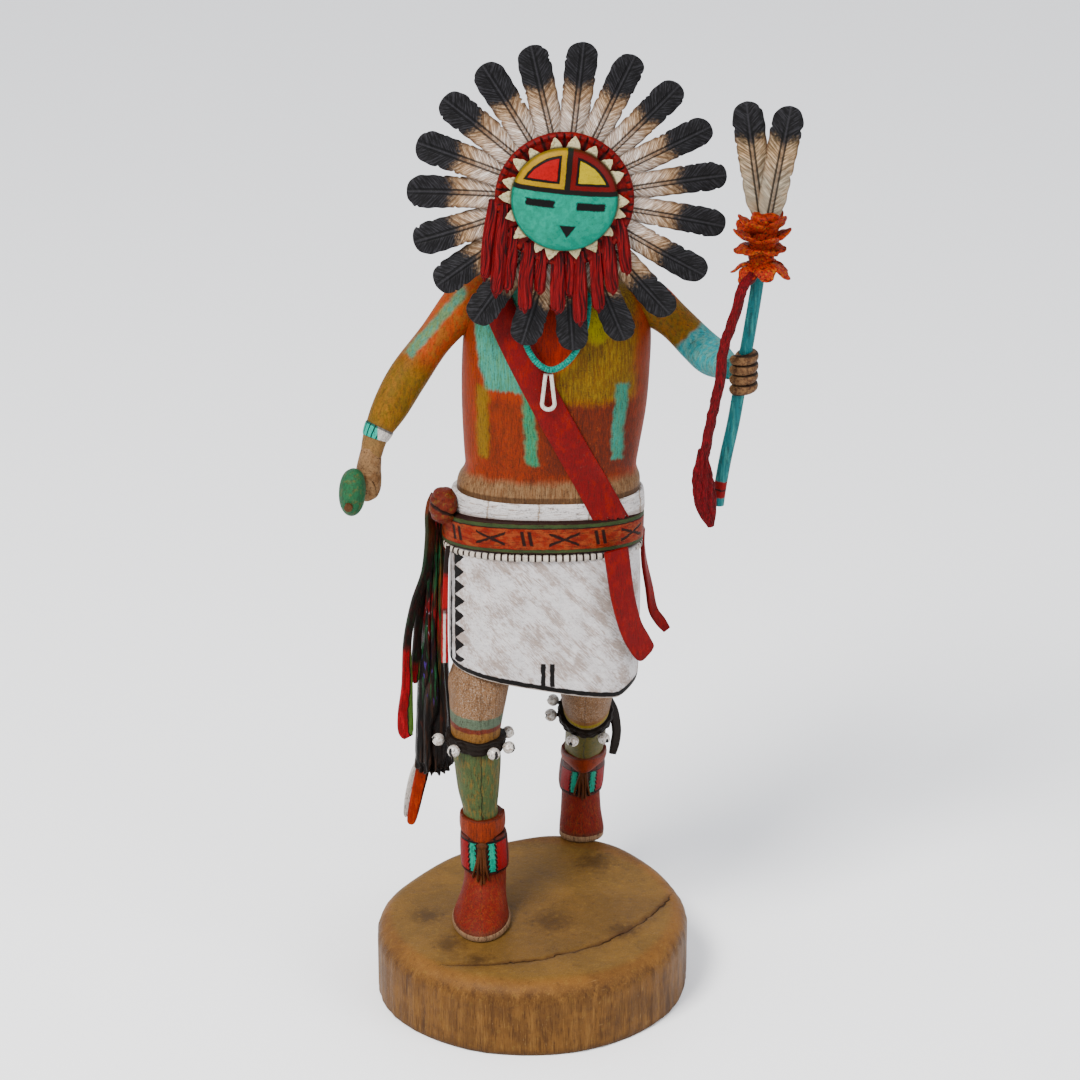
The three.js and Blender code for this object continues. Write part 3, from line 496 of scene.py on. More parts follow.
class Graph:
    """Builds one material: coordinates in, colour, roughness and relief out."""

    def __init__(self, name: str) -> None:
        """Starts an empty material with a shader and an output."""
        self.material = bpy.data.materials.new(name)
        self.material.use_nodes = True
        self.tree = self.material.node_tree
        self.tree.nodes.clear()
        self.shader = self.node("ShaderNodeBsdfPrincipled")
        self.shader.inputs["Specular IOR Level"].default_value = GLOSS
        output = self.node("ShaderNodeOutputMaterial")
        self.tree.links.new(self.shader.outputs["BSDF"], output.inputs["Surface"])

    def node(self, kind: str, **settings: object) -> bpy.types.Node:
        """Adds a node with its settings."""
        made = self.tree.nodes.new(kind)
        for key, value in settings.items():
            setattr(made, key, value)
        return made

    def plug(self, socket: bpy.types.NodeSocket, value: object) -> None:
        """Links a value to a socket, or sets a plain number or colour on it."""
        if isinstance(value, Value):
            self.tree.links.new(value.socket, socket)
        elif isinstance(value, tuple):
            socket.default_value = (*value, 1.0) if len(socket.default_value) == 4 else value
        else:
            socket.default_value = value

    def math(self, operation: str, *values: Number, clamp: bool = False) -> Value:
        """One step of arithmetic."""
        made = self.node("ShaderNodeMath", operation=operation, use_clamp=clamp)
        for socket, value in zip(made.inputs, values):
            self.plug(socket, value)
        return Value(self, made.outputs[0])

    def coords(self) -> tuple[Value, Value, Value]:
        """The object coordinates in millimetres."""
        source = self.node("ShaderNodeTexCoord").outputs["Object"]
        parts = self.node("ShaderNodeSeparateXYZ")
        self.tree.links.new(source, parts.inputs[0])
        return tuple(Value(self, parts.outputs[i]) * (1 / MM) for i in range(3))

    def uv(self) -> tuple[Value, Value]:
        """The piece's own UV map."""
        parts = self.node("ShaderNodeSeparateXYZ")
        self.tree.links.new(self.node("ShaderNodeUVMap").outputs[0], parts.inputs[0])
        return Value(self, parts.outputs[0]), Value(self, parts.outputs[1])

    def carved(self) -> Value:
        """How far the carving moved the surface out, in millimetres."""
        source = self.node("ShaderNodeAttribute", attribute_name="carved")
        return Value(self, source.outputs["Fac"])

    def vector(self, *parts: Number) -> Value:
        """Three numbers as one vector."""
        made = self.node("ShaderNodeCombineXYZ")
        for socket, value in zip(made.inputs, parts):
            self.plug(socket, value)
        return Value(self, made.outputs[0])

    def noise(
        self, at: Sequence[Number], size: Row, detail: float = 3.0, rough: float = 0.55
    ) -> Value:
        """Soft noise from 0 to 1.

        Args:
            at: The coordinates, in millimetres.
            size: How long a feature is along each of them.
            detail: How many finer layers it has.
            rough: How strong those are.

        Returns:
            The noise.
        """
        made = self.node("ShaderNodeTexNoise")
        scaled = [part * (1 / length) for part, length in zip(at, size)]
        self.plug(made.inputs["Vector"], self.vector(*scaled))
        self.plug(made.inputs["Scale"], 1.0)
        self.plug(made.inputs["Detail"], detail)
        self.plug(made.inputs["Roughness"], rough)
        return Value(self, made.outputs[0])

    def step(self, value: Number, low: float, high: float) -> Value:
        """A smooth step from 0 at low to 1 at high."""
        made = self.node("ShaderNodeMapRange", interpolation_type="SMOOTHSTEP")
        for socket, number in zip(made.inputs, (value, low, high, 0.0, 1.0)):
            self.plug(socket, number)
        return Value(self, made.outputs[0])

    def band(self, value: Number, low: Number, high: Number, soft: float = 0.15) -> Value:
        """1 between low and high, 0 outside, with soft edges."""
        rise = self.step(value - low, -soft, soft)
        return rise * self.step(value - high, soft, -soft)

    def patch(self, *bands: tuple[Number, Number, Number], soft: float = 0.5) -> Value:
        """1 where every value lies between its low and its high.

        Args:
            bands: Rows of a value, its low and its high.
            soft: How soft the edges are.

        Returns:
            The mask.
        """
        made = self.band(*bands[0], soft=soft)
        for band in bands[1:]:
            made = made * self.band(*band, soft=soft)
        return made

    def wander(self, at: Sequence[Number], size: float, reach: float) -> Value:
        """A slow wander of a painted edge, to either side.

        Args:
            at: The coordinates, in millimetres.
            size: The length of one swing.
            reach: How far it goes.

        Returns:
            The distance, in millimetres.
        """
        return (self.noise([part + size * 7 for part in at], (size,) * 3, 2) - 0.5) * (reach * 3)

    def least(self, *values: Number) -> Value:
        """The least of several values."""
        made = values[0]
        for value in values[1:]:
            made = self.math("MINIMUM", made, value)
        return made

    def most(self, *values: Number) -> Value:
        """The greatest of several values."""
        made = values[0]
        for value in values[1:]:
            made = self.math("MAXIMUM", made, value)
        return made

    def every(self, value: Value, period: float) -> Value:
        """The distance from the nearest multiple of a period, with its sign."""
        return self.math("WRAP", value, period / 2, -period / 2)

    def mix(self, share: Number, a: object, b: object) -> Value:
        """A colour a share of the way from a to b."""
        made = self.node("ShaderNodeMix", data_type="RGBA", clamp_factor=True)
        self.plug(made.inputs[0], share)
        self.plug(made.inputs[6], a)
        self.plug(made.inputs[7], b)
        return Value(self, made.outputs[2])

    def tone(self, colour: object, value: Number, saturation: Number = 1.0) -> Value:
        """A colour made lighter or darker, and more or less vivid."""
        made = self.node("ShaderNodeHueSaturation")
        self.plug(made.inputs["Color"], colour)
        self.plug(made.inputs["Value"], value)
        self.plug(made.inputs["Saturation"], saturation)
        return Value(self, made.outputs[0])

    def mixed(self, share: Number, a: float, b: float) -> Value:
        """A number a share of the way from a to b."""
        return self.math("MULTIPLY_ADD", share, b - a, a)

    def layers(self, ground: object, *coats: tuple[Number, object]) -> object:
        """A ground colour with coats over it, each with the share it covers."""
        for share, colour in coats:
            ground = self.mix(share, ground, colour)
        return ground

    def finish(
        self, colour: object, roughness: Number, relief: Number | None = None, depth: float = 0.1
    ) -> bpy.types.Material:
        """Plugs the results into the shader.

        Args:
            colour: The surface's colour.
            roughness: Its roughness.
            relief: Its height, from 0 to 1 or so.
            depth: How many millimetres one unit of relief is.

        Returns:
            The material.
        """
        self.plug(self.shader.inputs["Base Color"], colour)
        self.plug(self.shader.inputs["Roughness"], roughness)
        if relief is not None:
            bump = self.node("ShaderNodeBump")
            self.plug(bump.inputs["Distance"], depth * MM)
            self.plug(bump.inputs["Height"], relief)
            self.tree.links.new(bump.outputs[0], self.shader.inputs["Normal"])
        return self.material


def hexed(code: str) -> Paint:
    """A colour written as six hexadecimal digits, as linear light."""
    parts = (int(code[i : i + 2], 16) / 255 for i in (0, 2, 4))
    return tuple(p / 12.92 if p <= 0.04045 else ((p + 0.055) / 1.055) ** 2.4 for p in parts)


@dataclass(frozen=True)
class Aged:
    """How old paint lies on carved wood: its strokes, its wear and its dark wash.

    Lengths are in millimetres; `grain` is the size of a stroke along x, y and z.
    """

    grain: Row = (0.5, 0.5, 6.0)
    streak: float = 0.4
    mottle: float = 0.35
    wear: float = 0.2
    wood: str = "8a5a2c"
    wash: str = "1e0d06"
    washed: float = 0.35
    roughness: float = 0.55
    depth: float = 0.16
    shade: float = 0.58
    vivid: float = 1.02

    def finish(
        self, g: Graph, at: Sequence[Value], colour: object, relief: Number = 0.0
    ) -> bpy.types.Material:
        """Ages a coat of paint and finishes its material.

        Args:
            g: The material's graph.
            at: The coordinates, in millimetres.
            colour: The fresh paint.
            relief: What is carved into the wood under it, as height.

        Returns:
            The material.
        """
        strokes = g.noise(at, self.grain, 4, 0.65)
        specks = g.noise(at, (0.42, 0.42, 0.42), 3, 0.75)
        broad = g.noise(at, (7, 7, 11), 4, 0.6)
        tone = 1.0 + (strokes - 0.5) * self.streak * 2.4 + (broad - 0.5) * self.mottle * 1.8
        tone = (tone + (specks - 0.5) * self.mottle * 2.6) * (self.shade * PIGMENT)
        paint = g.tone(colour, tone, self.vivid)
        worn = g.step(specks * 0.45 + broad * 0.35 + strokes * 0.3, 0.66, 0.73) * self.wear
        dirt = g.step(strokes * 0.6 + specks * 0.5, 0.53, 0.42) * self.washed * 1.3
        dressed = g.layers(paint, (worn * 2.2, hexed(self.wood)), (dirt, hexed(self.wash)))
        rough = self.roughness + (specks - 0.5) * 0.35
        height = strokes * 0.9 + specks * 0.7 + relief
        return g.finish(dressed, rough, height, self.depth)


def painted(name: str, code: str, aged: Aged = Aged()) -> bpy.types.Material:
    """One plain colour of old paint on wood."""
    g = Graph(name)
    return aged.finish(g, g.coords(), hexed(code))


class Slot(str, Enum):
    """The record's material slots."""

    ROOT = "stained_root"
    BODY = "painted_body"
    TURQUOISE = "turquoise_paint"
    GREEN = "green_paint"
    BLUE = "blue_paint"
    ORANGE = "orange_paint"
    FEATHER = "feather_paint"
    RED = "red_paint"
    WHITE = "white_paint"
    DARK = "dark_paint"
    BELL = "bell_metal"


def shift(node: str, x: float, y: float, z: float) -> Vector:
    """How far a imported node's middle lies from where its sizes were written.

    Args:
        node: The node's name.
        x: The middle that the sizes here were written for.
        y: The same, from front to back.
        z: The same, upwards.

    Returns:
        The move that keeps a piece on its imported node, in millimetres.
    """
    return centre(node) - Vector((x, y, z))


def present(
    piece: bpy.types.Object, slot: Slot, finish: bpy.types.Material, *nodes: str, sharp: float = 40
) -> bpy.types.Object:
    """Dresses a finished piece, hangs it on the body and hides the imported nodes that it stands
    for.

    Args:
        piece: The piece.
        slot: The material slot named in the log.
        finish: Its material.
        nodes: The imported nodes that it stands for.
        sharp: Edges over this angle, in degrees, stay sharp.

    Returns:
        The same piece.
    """
    piece.data.materials.clear()
    piece.data.materials.append(finish)
    Bench.smooth(piece, sharp)
    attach(piece, BODY)
    if nodes:
        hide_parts(*nodes)
    LOG.info("%s: %d faces, %s", piece.name, len(piece.data.polygons), slot.value)
    return piece


# ------------------------------------------------------------------- the base


@dataclass
class RootSlab:
    """The slab of stained root wood under the dancer."""

    at: Vector = field(default_factory=lambda: shift("root_base", 0.8, 1.2, 15))
    height: float = 30
    radius: float = 61.5
    foot_ease: float = 1.6
    edge_front: float = 9
    edge_back: float = 5
    swells: Sequence[Row] = ((70, 24, 5.2), (140, 40, -6.4), (-150, 50, 0.9))
    sides: int = 420
    crack: Row = (-22, 38, 81.8)
    stains: Sequence[Row] = (
        (-31, -28, 9), (-20, -40, 7), (8, -10, 13), (25, 38, 12), (-40, -6, 10), (36, -18, 9),
    )

    def reach(self, angle: float) -> float:
        """How far the side stands out at an angle, in radians."""
        out = self.radius
        for middle, width, size in self.swells:
            off = (math.degrees(angle) - middle + 180) % 360 - 180
            out += size * math.exp(-((off / width) ** 2))
        return out

    def edge(self, angle: float) -> float:
        """The radius of the worn top edge at an angle."""
        return mixed(self.edge_front, self.edge_back, (1 + math.sin(angle)) / 2)

    def rings(self) -> list[list[Vector]]:
        """Rings from the middle of the underside, up the side, to the top's middle."""
        rows: list[Callable[[float], tuple[float, float]]] = []
        for share in (0.02, 0.5, 0.9):
            rows.append(lambda a, s=share: ((self.reach(a) - self.foot_ease) * s, 0))
        for k in range(5):
            bend = k / 4 * math.pi / 2
            rows.append(lambda a, b=bend: (
                self.reach(a) - self.foot_ease * (1 - math.sin(b)),
                self.foot_ease * (1 - math.cos(b)),
            ))
        for k in range(1, 16):
            rows.append(lambda a, s=k / 16: (
                self.reach(a), mixed(self.foot_ease, self.height - self.edge(a), s)
            ))
        for k in range(9):
            bend = k / 8 * math.pi / 2
            rows.append(lambda a, b=bend: (
                self.reach(a) - self.edge(a) * (1 - math.cos(b)),
                self.height - self.edge(a) * (1 - math.sin(b)),
            ))
        for k in range(1, 60):
            rows.append(lambda a, s=1 - k / 59.6: (
                (self.reach(a) - self.edge(a)) * s, self.height
            ))
        angles = [j / self.sides * TURN for j in range(self.sides)]
        return [
            [
                self.at + Vector((math.cos(a) * r, math.sin(a) * r, z))
                for a in angles for r, z in (row(a),)
            ]
            for row in rows
        ]

    def build(self) -> None:
        """Makes the slab."""
        piece = Bench.loft("root_slab", self.rings())
        Bench.push(piece, self.worn)
        present(piece, Slot.ROOT, self.wood(), "root_base", sharp=60)

    def worn(self, spot: Vector, normal: Vector) -> float:
        """Hand-worn swells, shallow flutes down the side and the sunken crack."""
        if normal.z < -0.9:
            return 0
        x, y = spot.x - self.at.x, spot.y - self.at.y
        turn = math.atan2(y, x)
        flutes = 0.16 * math.sin(turn * 47) * math.sin(turn * 13 + 1) + 0.22 * math.sin(turn * 9)
        swell = 0.6 * math.sin(x * 0.09 + 1) * math.sin(y * 0.11)
        swell += 0.2 * math.sin(x * 0.21 - y * 0.1)
        cx, cy, r = self.crack
        off = math.hypot(x - cx, y - cy) - r - 0.8 * math.sin(turn * 7)
        dent = -0.5 * math.exp(-((off / 0.9) ** 2)) * eased(12, 4, y) * eased(0.3, 0.8, normal.z)
        side = eased(0.8, 0.3, normal.z) * eased(-0.9, -0.5, normal.z)
        return flutes * side - 0.25 * side + (swell - 0.1) * (1 - side) * 0.6 + dent

    def wood(self) -> bpy.types.Material:
        """Ochre-stained root wood: end marks on top, upright grain down the side, and the side
        toned darker than the top as painted shade.
        """
        g = Graph("root_wood")
        at = g.coords()
        x, y, z = at
        inward = g.step(g.math("SQRT", x * x + y * y), 57, 53)
        top = g.step(z, self.height - 5, self.height - 1.5)
        grain = g.noise(at, (0.42, 0.42, 7), 4, 0.65)
        planks = g.noise(at, (3.2, 3.2, 22), 4, 0.6)
        clouds = g.noise(at, (15, 15, 9), 4, 0.55)
        small = g.noise(at, (2.4, 2.4, 2.4), 4, 0.7)
        scratch = g.noise(((x + y * 0.5), (y - x * 0.5), z), (7, 0.35, 3), 2, 0.6)
        cx, cy, r = self.crack
        dx, dy = x - self.at.x - cx, y - self.at.y - cy
        off = g.math("SQRT", dx * dx + dy * dy) - r + g.wander(at, 7, 1.5) + g.wander(at, 1.4, 0.3)
        near = g.step(y, 16, 6) * g.step(x, -40, -24) * g.step(z, self.height - 9, self.height - 5)
        fissure = g.band(off, -0.14, 0.16, 0.14) * near
        shade = (g.step(off, -2.4, -0.1) * g.step(off, 0.6, 0.1) + g.step(off, 7, 0.2) * 0.4) * near
        stains = []
        for sx, sy, size in self.stains:
            ax, ay = x - self.at.x - sx, y - self.at.y - sy
            away = g.math("SQRT", ax * ax + ay * ay) + (small - 0.5) * size * 1.4
            stains.append(g.step(away, size, size * 0.1))
        stained = g.most(*stains) * top
        lines = g.step(grain, 0.46, 0.34) * g.mixed(top, 0.75, 0.2)
        colour = g.layers(
            hexed("6b451a"),
            (g.step(clouds, 0.42, 0.62) * g.mixed(top, 0.75, 0.6), hexed("83561f")),
            (g.step(planks, 0.52, 0.68) * g.mixed(top, 0.6, 0.15), hexed("94652a")),
            (g.step(planks, 0.47, 0.34) * g.mixed(top, 0.65, 0.15), hexed("4a2c12")),
            (top * inward * 0.35, hexed("6b5a26")),
            (g.step(small, 0.55, 0.7) * 0.4, hexed("8d6a2c")),
            (g.step(small, 0.44, 0.32) * 0.35, hexed("3d2712")),
            (g.step(scratch, 0.66, 0.74) * 0.32, hexed("b08a54")),
            (lines, hexed("452910")), (g.step(grain, 0.56, 0.68) * 0.35, hexed("ab7c3a")),
            (stained * 0.62, hexed("31200f")), (shade * 0.5, hexed("3a1d0c")),
            (fissure * g.mixed(g.step(small, 0.42, 0.6), 0.35, 0.95), hexed("160b06")),
            (g.step(z, 3.5, 0) * 0.5, hexed("3a2410")),
        )
        relief = grain * g.mixed(top, 0.9, 0.35) + planks * 0.9 + small * 0.5 - fissure * 3
        # The side is toned darker than the top: painted shade, set against the key light on the
        # side.
        side_in_painted_shade = g.tone(colour, g.mixed(top, 0.62 * PIGMENT, 0.8 * PIGMENT), 0.98)
        return g.finish(side_in_painted_shade, 0.5 + (small - 0.5) * 0.3, relief, 0.22)


# ----------------------------------------------------------------- the figure


@dataclass
class Trunk:
    """The carved chest, with the bare wood at the waist and the white waistband."""

    at: Vector = field(default_factory=lambda: shift("figure", 5.5, 27.8, 168.2))
    chest: Sequence[Row] = (
        (191, 6.2, 14.8, 33.6, 17.6), (200, 6.5, 14.6, 34.2, 18.2), (204, 6.7, 14.6, 34.4, 18.6),
        (207, 7, 14.4, 34, 18.5), (210, 7.4, 14.2, 32.6, 18.2), (213, 7.6, 14, 32.1, 18.1),
        (220, 7.9, 13.6, 32.8, 19), (236, 8.8, 13, 34.3, 20.5), (252, 9.4, 12.6, 34.8, 21.3),
        (266, 10, 12.5, 34.4, 21.3), (276, 10.3, 12.5, 32.2, 19.6), (284, 10.6, 12.5, 25.5, 16.5),
        (289.5, 11, 12.4, 15.5, 12.4), (293, 11.3, 12, 10.5, 10), (306, 11.8, 11, 9.2, 9.2),
    )
    band: Sequence[Row] = (
        (193.2, 6.4, 14.6, 35.6, 18.2), (194, 6.4, 14.6, 36.4, 19), (196, 6.4, 14.6, 36.6, 19.2),
        (201, 6.4, 14.6, 36.3, 19), (202.4, 6.5, 14.6, 35.4, 18.2), (202.7, 6.5, 14.6, 32.8, 17.2),
    )
    chest_power: float = 2.35
    band_power: float = 2.3
    hidden: float = 178

    def inside(self, point: Vector, stand: float) -> bool:
        """Whether a point lies within a distance of the trunk."""
        spot = point - self.at
        for stations, power in ((self.chest, self.chest_power), (self.band, self.band_power)):
            if not self.hidden < spot.z < stations[-1][0]:
                continue
            _, x, y, a, b = section_at(stations, max(spot.z, stations[0][0] + 1))
            across, deep = abs((spot.x - x) / (a + stand)), abs((spot.y - y) / (b + stand))
            if across**power + deep**power < 1:
                return True
        return False

    def reach(self, start: Vector, way: Vector, stand: float) -> float:
        """How far a ray from inside goes before it comes out of the trunk."""
        low, high = 0.0, 0.0
        while self.inside(start + way * high, stand):
            low, high = high, high + 3
        for _ in range(14):
            middle = (low + high) / 2
            if self.inside(start + way * middle, stand):
                low = middle
            else:
                high = middle
        return high

    def front(self, x: float, z: float) -> float:
        """The chest's front at a place, in the frame."""
        _, cx, cy, a, b = section_at(self.chest, z - self.at.z)
        left = max(0.0, 1 - abs((x - self.at.x - cx) / a) ** self.chest_power)
        return self.at.y + cy - b * left ** (1 / self.chest_power)

    def build(self) -> None:
        """Makes the chest and the waistband."""
        chest = Bench.loft("chest", level_rings(self.chest, self.at, 120, 150, self.chest_power))
        present(chest, Slot.BODY, self.chest_paint(), "figure")
        band = Bench.loft("waistband", level_rings(self.band, self.at, 140, 30, self.band_power))
        present(band, Slot.BODY, self.band_paint(), "figure")

    def chest_paint(self) -> bpy.types.Material:
        """The painted chest: its patches and stripes, a painted highlight on the ochre, and the
        bare wood at the waist.
        """
        g = Graph("chest_paint")
        at = g.coords()
        x = at[0] + g.wander(at, 5, 1)
        z = at[2] + g.wander(at, 6, 1.3) + (g.noise(at, (0.5, 0.5, 5), 2, 0.6) - 0.5) * 2.4
        front = g.step(at[1], 13, 7)
        side = g.step(abs(at[0] - 9.5), 25.5, 30)
        through = g.step(g.noise(at, (0.55, 0.55, 4.5), 4, 0.7), 0.36, 0.64)
        low = g.band(z, 209, 244, 2.5)
        patch = g.patch((x + (z - 247) * 0.17, -16.6, 6), (z, 247.6, 292), soft=0.9) * front
        ochre = g.patch((x, g.mixed(g.step(z, 254, 262), 9, 16), 38.4), (z, 243.5, 292), soft=2.6)
        ochre = ochre * front
        # A bright yellow spot on the ochre patch: painted highlight.
        painted_highlight = g.step(((x - 24.5) * (x - 24.5)) + ((z - 273) * (z - 273)) * 0.5, 34, 4)
        yellow = g.patch((x, -19.6, -15.2), (z, 220, 248.5), soft=1.2) * front
        green = g.patch((x + (z - 246) * 0.06, -3, 1.3), (z, 218, 262), soft=0.9) * front
        right = g.patch((x - (z - 219) * 0.057, 29.6, 34), (z, 219.4, 250.6), soft=0.9) * front
        heart = g.step(((x - 7) * (x - 7)) * 2.2 + ((z - 273) * (z - 273)), 250, 170) * front
        block = g.patch((x, 4, 39), (z, 214, 244), soft=3) * front
        colour = g.layers(
            hexed("a8360f"),
            (low, g.mix(through, hexed("7c3010"), hexed("98300c"))),
            (side, g.mix(through, hexed("8c3a10"), hexed("a2340e"))),
            (block * 0.75, g.mix(through, hexed("4c1a0c"), hexed("742a12"))),
            (patch * 0.94, g.mix(through * 0.75, hexed("2fa896"), hexed("53905a"))),
            (ochre * 0.9, g.mix(through, hexed("6a4a0a"), hexed("907612"))),
            (painted_highlight * front * 0.9, hexed("b5a806")),
            (heart, g.mix(through, hexed("b82c12"), hexed("96200e"))),
            (yellow * 0.9, hexed("8d6c10")),
            (green, g.mix(through * 0.6, hexed("1f8f6c"), hexed("5e8a4c"))),
            (right, g.mix(through * 0.6, hexed("2b9684"), hexed("5e8a5c"))),
            (g.step(z, 212.6, 208.6), g.mix(through, hexed("785030"), hexed("9a7652"))),
            (g.band(at[2], 200, 204.6, 0.4) * 0.75, hexed("4c3018")),
        )
        coat = Aged(streak=0.45, mottle=0.5, wear=0.3, washed=0.45, shade=0.54)
        return coat.finish(g, at, colour)

    def band_paint(self) -> bpy.types.Material:
        """The white waistband with the wood showing in its folds."""
        g = Graph("waistband_paint")
        at = g.coords()
        fold = g.noise(at, (5, 5, 0.7), 3)
        folds = g.step(fold, 0.42, 0.36)
        ends = g.band(g.every(at[0] + g.wander(at, 3, 0.8) - 3, 19), -0.3, 0.3, 0.12)
        colour = g.layers(
            hexed("cfc9c6"), (folds * 0.6, hexed("80603f")), (ends * 0.7, hexed("8d7458")),
            (g.band(at[2], 190, 196.4, 0.6) * 0.5, hexed("6f5138")),
        )
        coat = Aged(grain=(3, 3, 0.5), streak=0.35, mottle=0.35, wear=0.4, washed=0.5, shade=0.8,
                    vivid=1)
        return coat.finish(g, at, colour, fold * 1.6 - ends)


@dataclass
class Kilt:
    """The white kilt and the painted belt over it."""

    at: Vector = field(default_factory=lambda: shift("figure", 5.5, 27.8, 168.2))
    skirt: Sequence[Row] = (
        (129.5, 5, 13.2, 35.8, 24.8), (133, 5, 13.2, 36.2, 25.2), (150, 5.2, 13.8, 36.4, 23.2),
        (170, 5.4, 14.4, 36.2, 20.4), (184, 5.2, 14.6, 35.6, 19), (195, 5.4, 14.6, 34.8, 18),
    )
    belt: Sequence[Row] = (
        (181.4, 4.6, 14.6, 36.8, 20), (181.8, 4.6, 14.6, 37.6, 20.8), (183, 4.6, 14.6, 38, 21.3),
        (188.4, 4.7, 14.6, 38.1, 21.3), (193.2, 4.8, 14.6, 38, 21.1),
        (194.4, 4.9, 14.6, 37.4, 20.5), (194.7, 4.9, 14.6, 36.4, 19.4),
    )
    power: float = 3
    belt_power: float = 2.3
    motifs: int = 7
    ticks: int = 72
    slant: float = 0.17
    corner: float = 4.5
    slant_top: float = 172
    rise: float = 0.07
    wall: float = 2.2
    edging: Sequence[Row] = (
        (-30.8, 1, 183.4, 0.8, 8), (-31.6, 0.8, 176, 0.9, 8), (-32.2, 0.2, 160, 1.1, 8),
        (-32.5, -0.4, 146, 1.25, 8), (-32.6, -0.8, 136.5, 1.25, 8),
    )

    def drop(self, point: Vector) -> Vector:
        """Pulls the hem down towards the figure's left leg."""
        spot = point - self.at
        share = min(max((self.slant_top - spot.z) / 40, 0), 1)
        lift = self.corner * eased(32, 41.5, spot.x) - self.slant * (spot.x - 5)
        return point + Vector((0, 0, lift * share))

    def tip(self, point: Vector) -> Vector:
        """Tips the belt up at the front."""
        return point - Vector((0, 0, self.rise * (point.y - self.at.y - 14.6)))

    def build(self) -> None:
        """Makes the kilt, the belt and the ticked cord under it."""
        outer = level_rings(self.skirt, self.at, 160, 80, self.power)
        z, x, y, a, b = self.skirt[0]
        w = self.wall
        hem = [
            (z - 0.25, x, y, a - 0.35, b - 0.35), (z - 0.25, x, y, a - w + 0.35, b - w + 0.35),
            (z, x, y, a - w, b - w), (z + 9, x, y, a - w, b - w), (z + 9, x, y, 1, 1),
        ]
        inner = [level_ring(row, self.at, 160, self.power) for row in hem]
        rings = [[self.drop(p) for p in ring] for ring in (*reversed(inner), *outer)]
        kilt = Bench.loft("kilt", rings)
        present(kilt, Slot.BODY, self.kilt_paint(), "figure")
        rings = level_rings(self.belt, self.at, 160, 40, self.belt_power)
        rings = [[self.tip(p) for p in ring] for ring in rings]
        belt = Bench.loft("belt", rings)
        present(belt, Slot.BODY, self.belt_paint(rings[20]), "figure")
        cord = Bench.loft("ticked_cord", self.cord_rings(), closed=True)
        present(cord, Slot.BODY, self.cord_paint(), "figure")
        edging = ribbon("kilt_edging", self.edging, self.at, 1.3)
        present(edging, Slot.BODY, self.edging_paint(), "figure")

    def edging_paint(self) -> bpy.types.Material:
        """Red above, striped white and red below, with a black line along the kilt."""
        g = Graph("edging_paint")
        at = g.coords()
        u, _ = g.uv()
        out = u + g.wander(at, 2, 0.12)
        low = g.step(at[2] + g.wander(at, 1, 0.5), 158.5, 157)
        colour = g.layers(
            hexed("8e1114"), (low * g.band(out, -0.7, 0.3, 0.12), hexed("c2b6ae")),
            (g.band(at[2], 156.4, 158.6, 0.4) * 0.8, hexed("3a0c0c")),
            (g.step(at[2] + g.wander(at, 1, 1), 170, 174), hexed("1a100c")),
        )
        coat = Aged(grain=(0.4, 0.4, 5), wear=0.1, washed=0.4, shade=0.8)
        return coat.finish(g, at, colour)

    def cord_rings(self) -> list[list[Vector]]:
        """Small rings, pinched at each tick, round the kilt under the belt."""
        z, x, y, a, b = self.belt[0]
        steps = self.ticks * 6
        line = level_ring((z - 1.5, x, y, a - 0.2, b + 0.2), self.at, steps, self.belt_power)
        line = [self.tip(point) for point in line]
        rings = []
        for i, here in enumerate(line):
            way = (line[(i + 1) % steps] - line[i - 1]).normalized()
            out = way.cross(Vector((0, 0, 1))).normalized()
            swell = 0.72 + 0.28 * math.sin(math.pi * (i % 6 + 0.5) / 6)
            ring = []
            for j in range(12):
                c, s = superellipse(j / 12 * TURN, 2.4)
                ring.append(here + out * (c * 1.2 * swell) + Vector((0, 0, s * 1.5 * swell)))
            rings.append(ring)
        return rings

    def kilt_paint(self) -> bpy.types.Material:
        """White rubbed with tan, with a toothed border, a black hem line and painted shade under
        the belt.
        """
        g = Graph("kilt_paint")
        at = g.coords()
        x = at[0] + g.wander(at, 2.2, 0.28)
        z = at[2] + g.wander(at, 2.6, 0.3)
        front = g.step(at[1], 12, 9)
        across = (at[0] + at[2]) * 0.7
        down = (at[2] - at[0]) * 0.7
        rub = g.noise((across, at[1], down), (3, 6, 26), 4, 0.6)
        weave = g.noise((across, at[1], down), (0.35, 0.6, 3.4), 3, 0.6)
        smudge = g.noise(at, (9, 9, 12), 4, 0.6)
        tan = g.step(rub * 0.5 + smudge * 0.5 + (weave - 0.5) * 0.5, 0.44, 0.6)
        hem = z - self.hem_height(g, at[0])
        tooth = abs(g.every(z + at[1] * 0.42 - 137.4, 6)) * 1.2
        teeth = g.patch((x + tooth, -40, -24.8), (x, -28.6, -20), (z, 138, 187), soft=0.14)
        stroke = g.patch((abs(x - 6.5), 0.8, 2.6), (z, 131.3, 140.4), soft=0.2)
        ink = g.most(
            teeth, stroke, g.band(x, -30.3, -29.7, 0.08) * g.step(at[1], 8, 5),
            g.band(hem, 0.5, 2.6, 0.22),
            g.patch((x, 30, 50), (at[1], 5.4, 7), (z, 120, 148), soft=0.3),
        )
        colour = g.layers(
            hexed("cfcac9"), (tan * 0.8, hexed("8f7a6c")),
            (g.step(weave, 0.4, 0.28) * 0.3, hexed("6f5340")),
            (g.step(hem, 0.8, 0.4) * 0.8, hexed("a99a8c")),
            (ink * front, hexed("0d0b0a")),
            # Near black just under the belt: painted shade.
            (g.step(at[2], 180.5, 183), hexed("1a120c")),
        )
        coat = Aged(grain=(2, 2, 0.8), streak=0.18, mottle=0.25, wear=0.14, washed=0.14, shade=0.86,
                    vivid=1)
        return coat.finish(g, at, colour, weave * 1.5 - ink)

    def hem_height(self, g: Graph, x: Value) -> Value:
        """The height of the front hem at an x, for the painted line."""
        corner = g.step(x, 32, 41.5) * self.corner
        return (x - 5) * -self.slant + (self.skirt[0][0] - 0.2) + corner

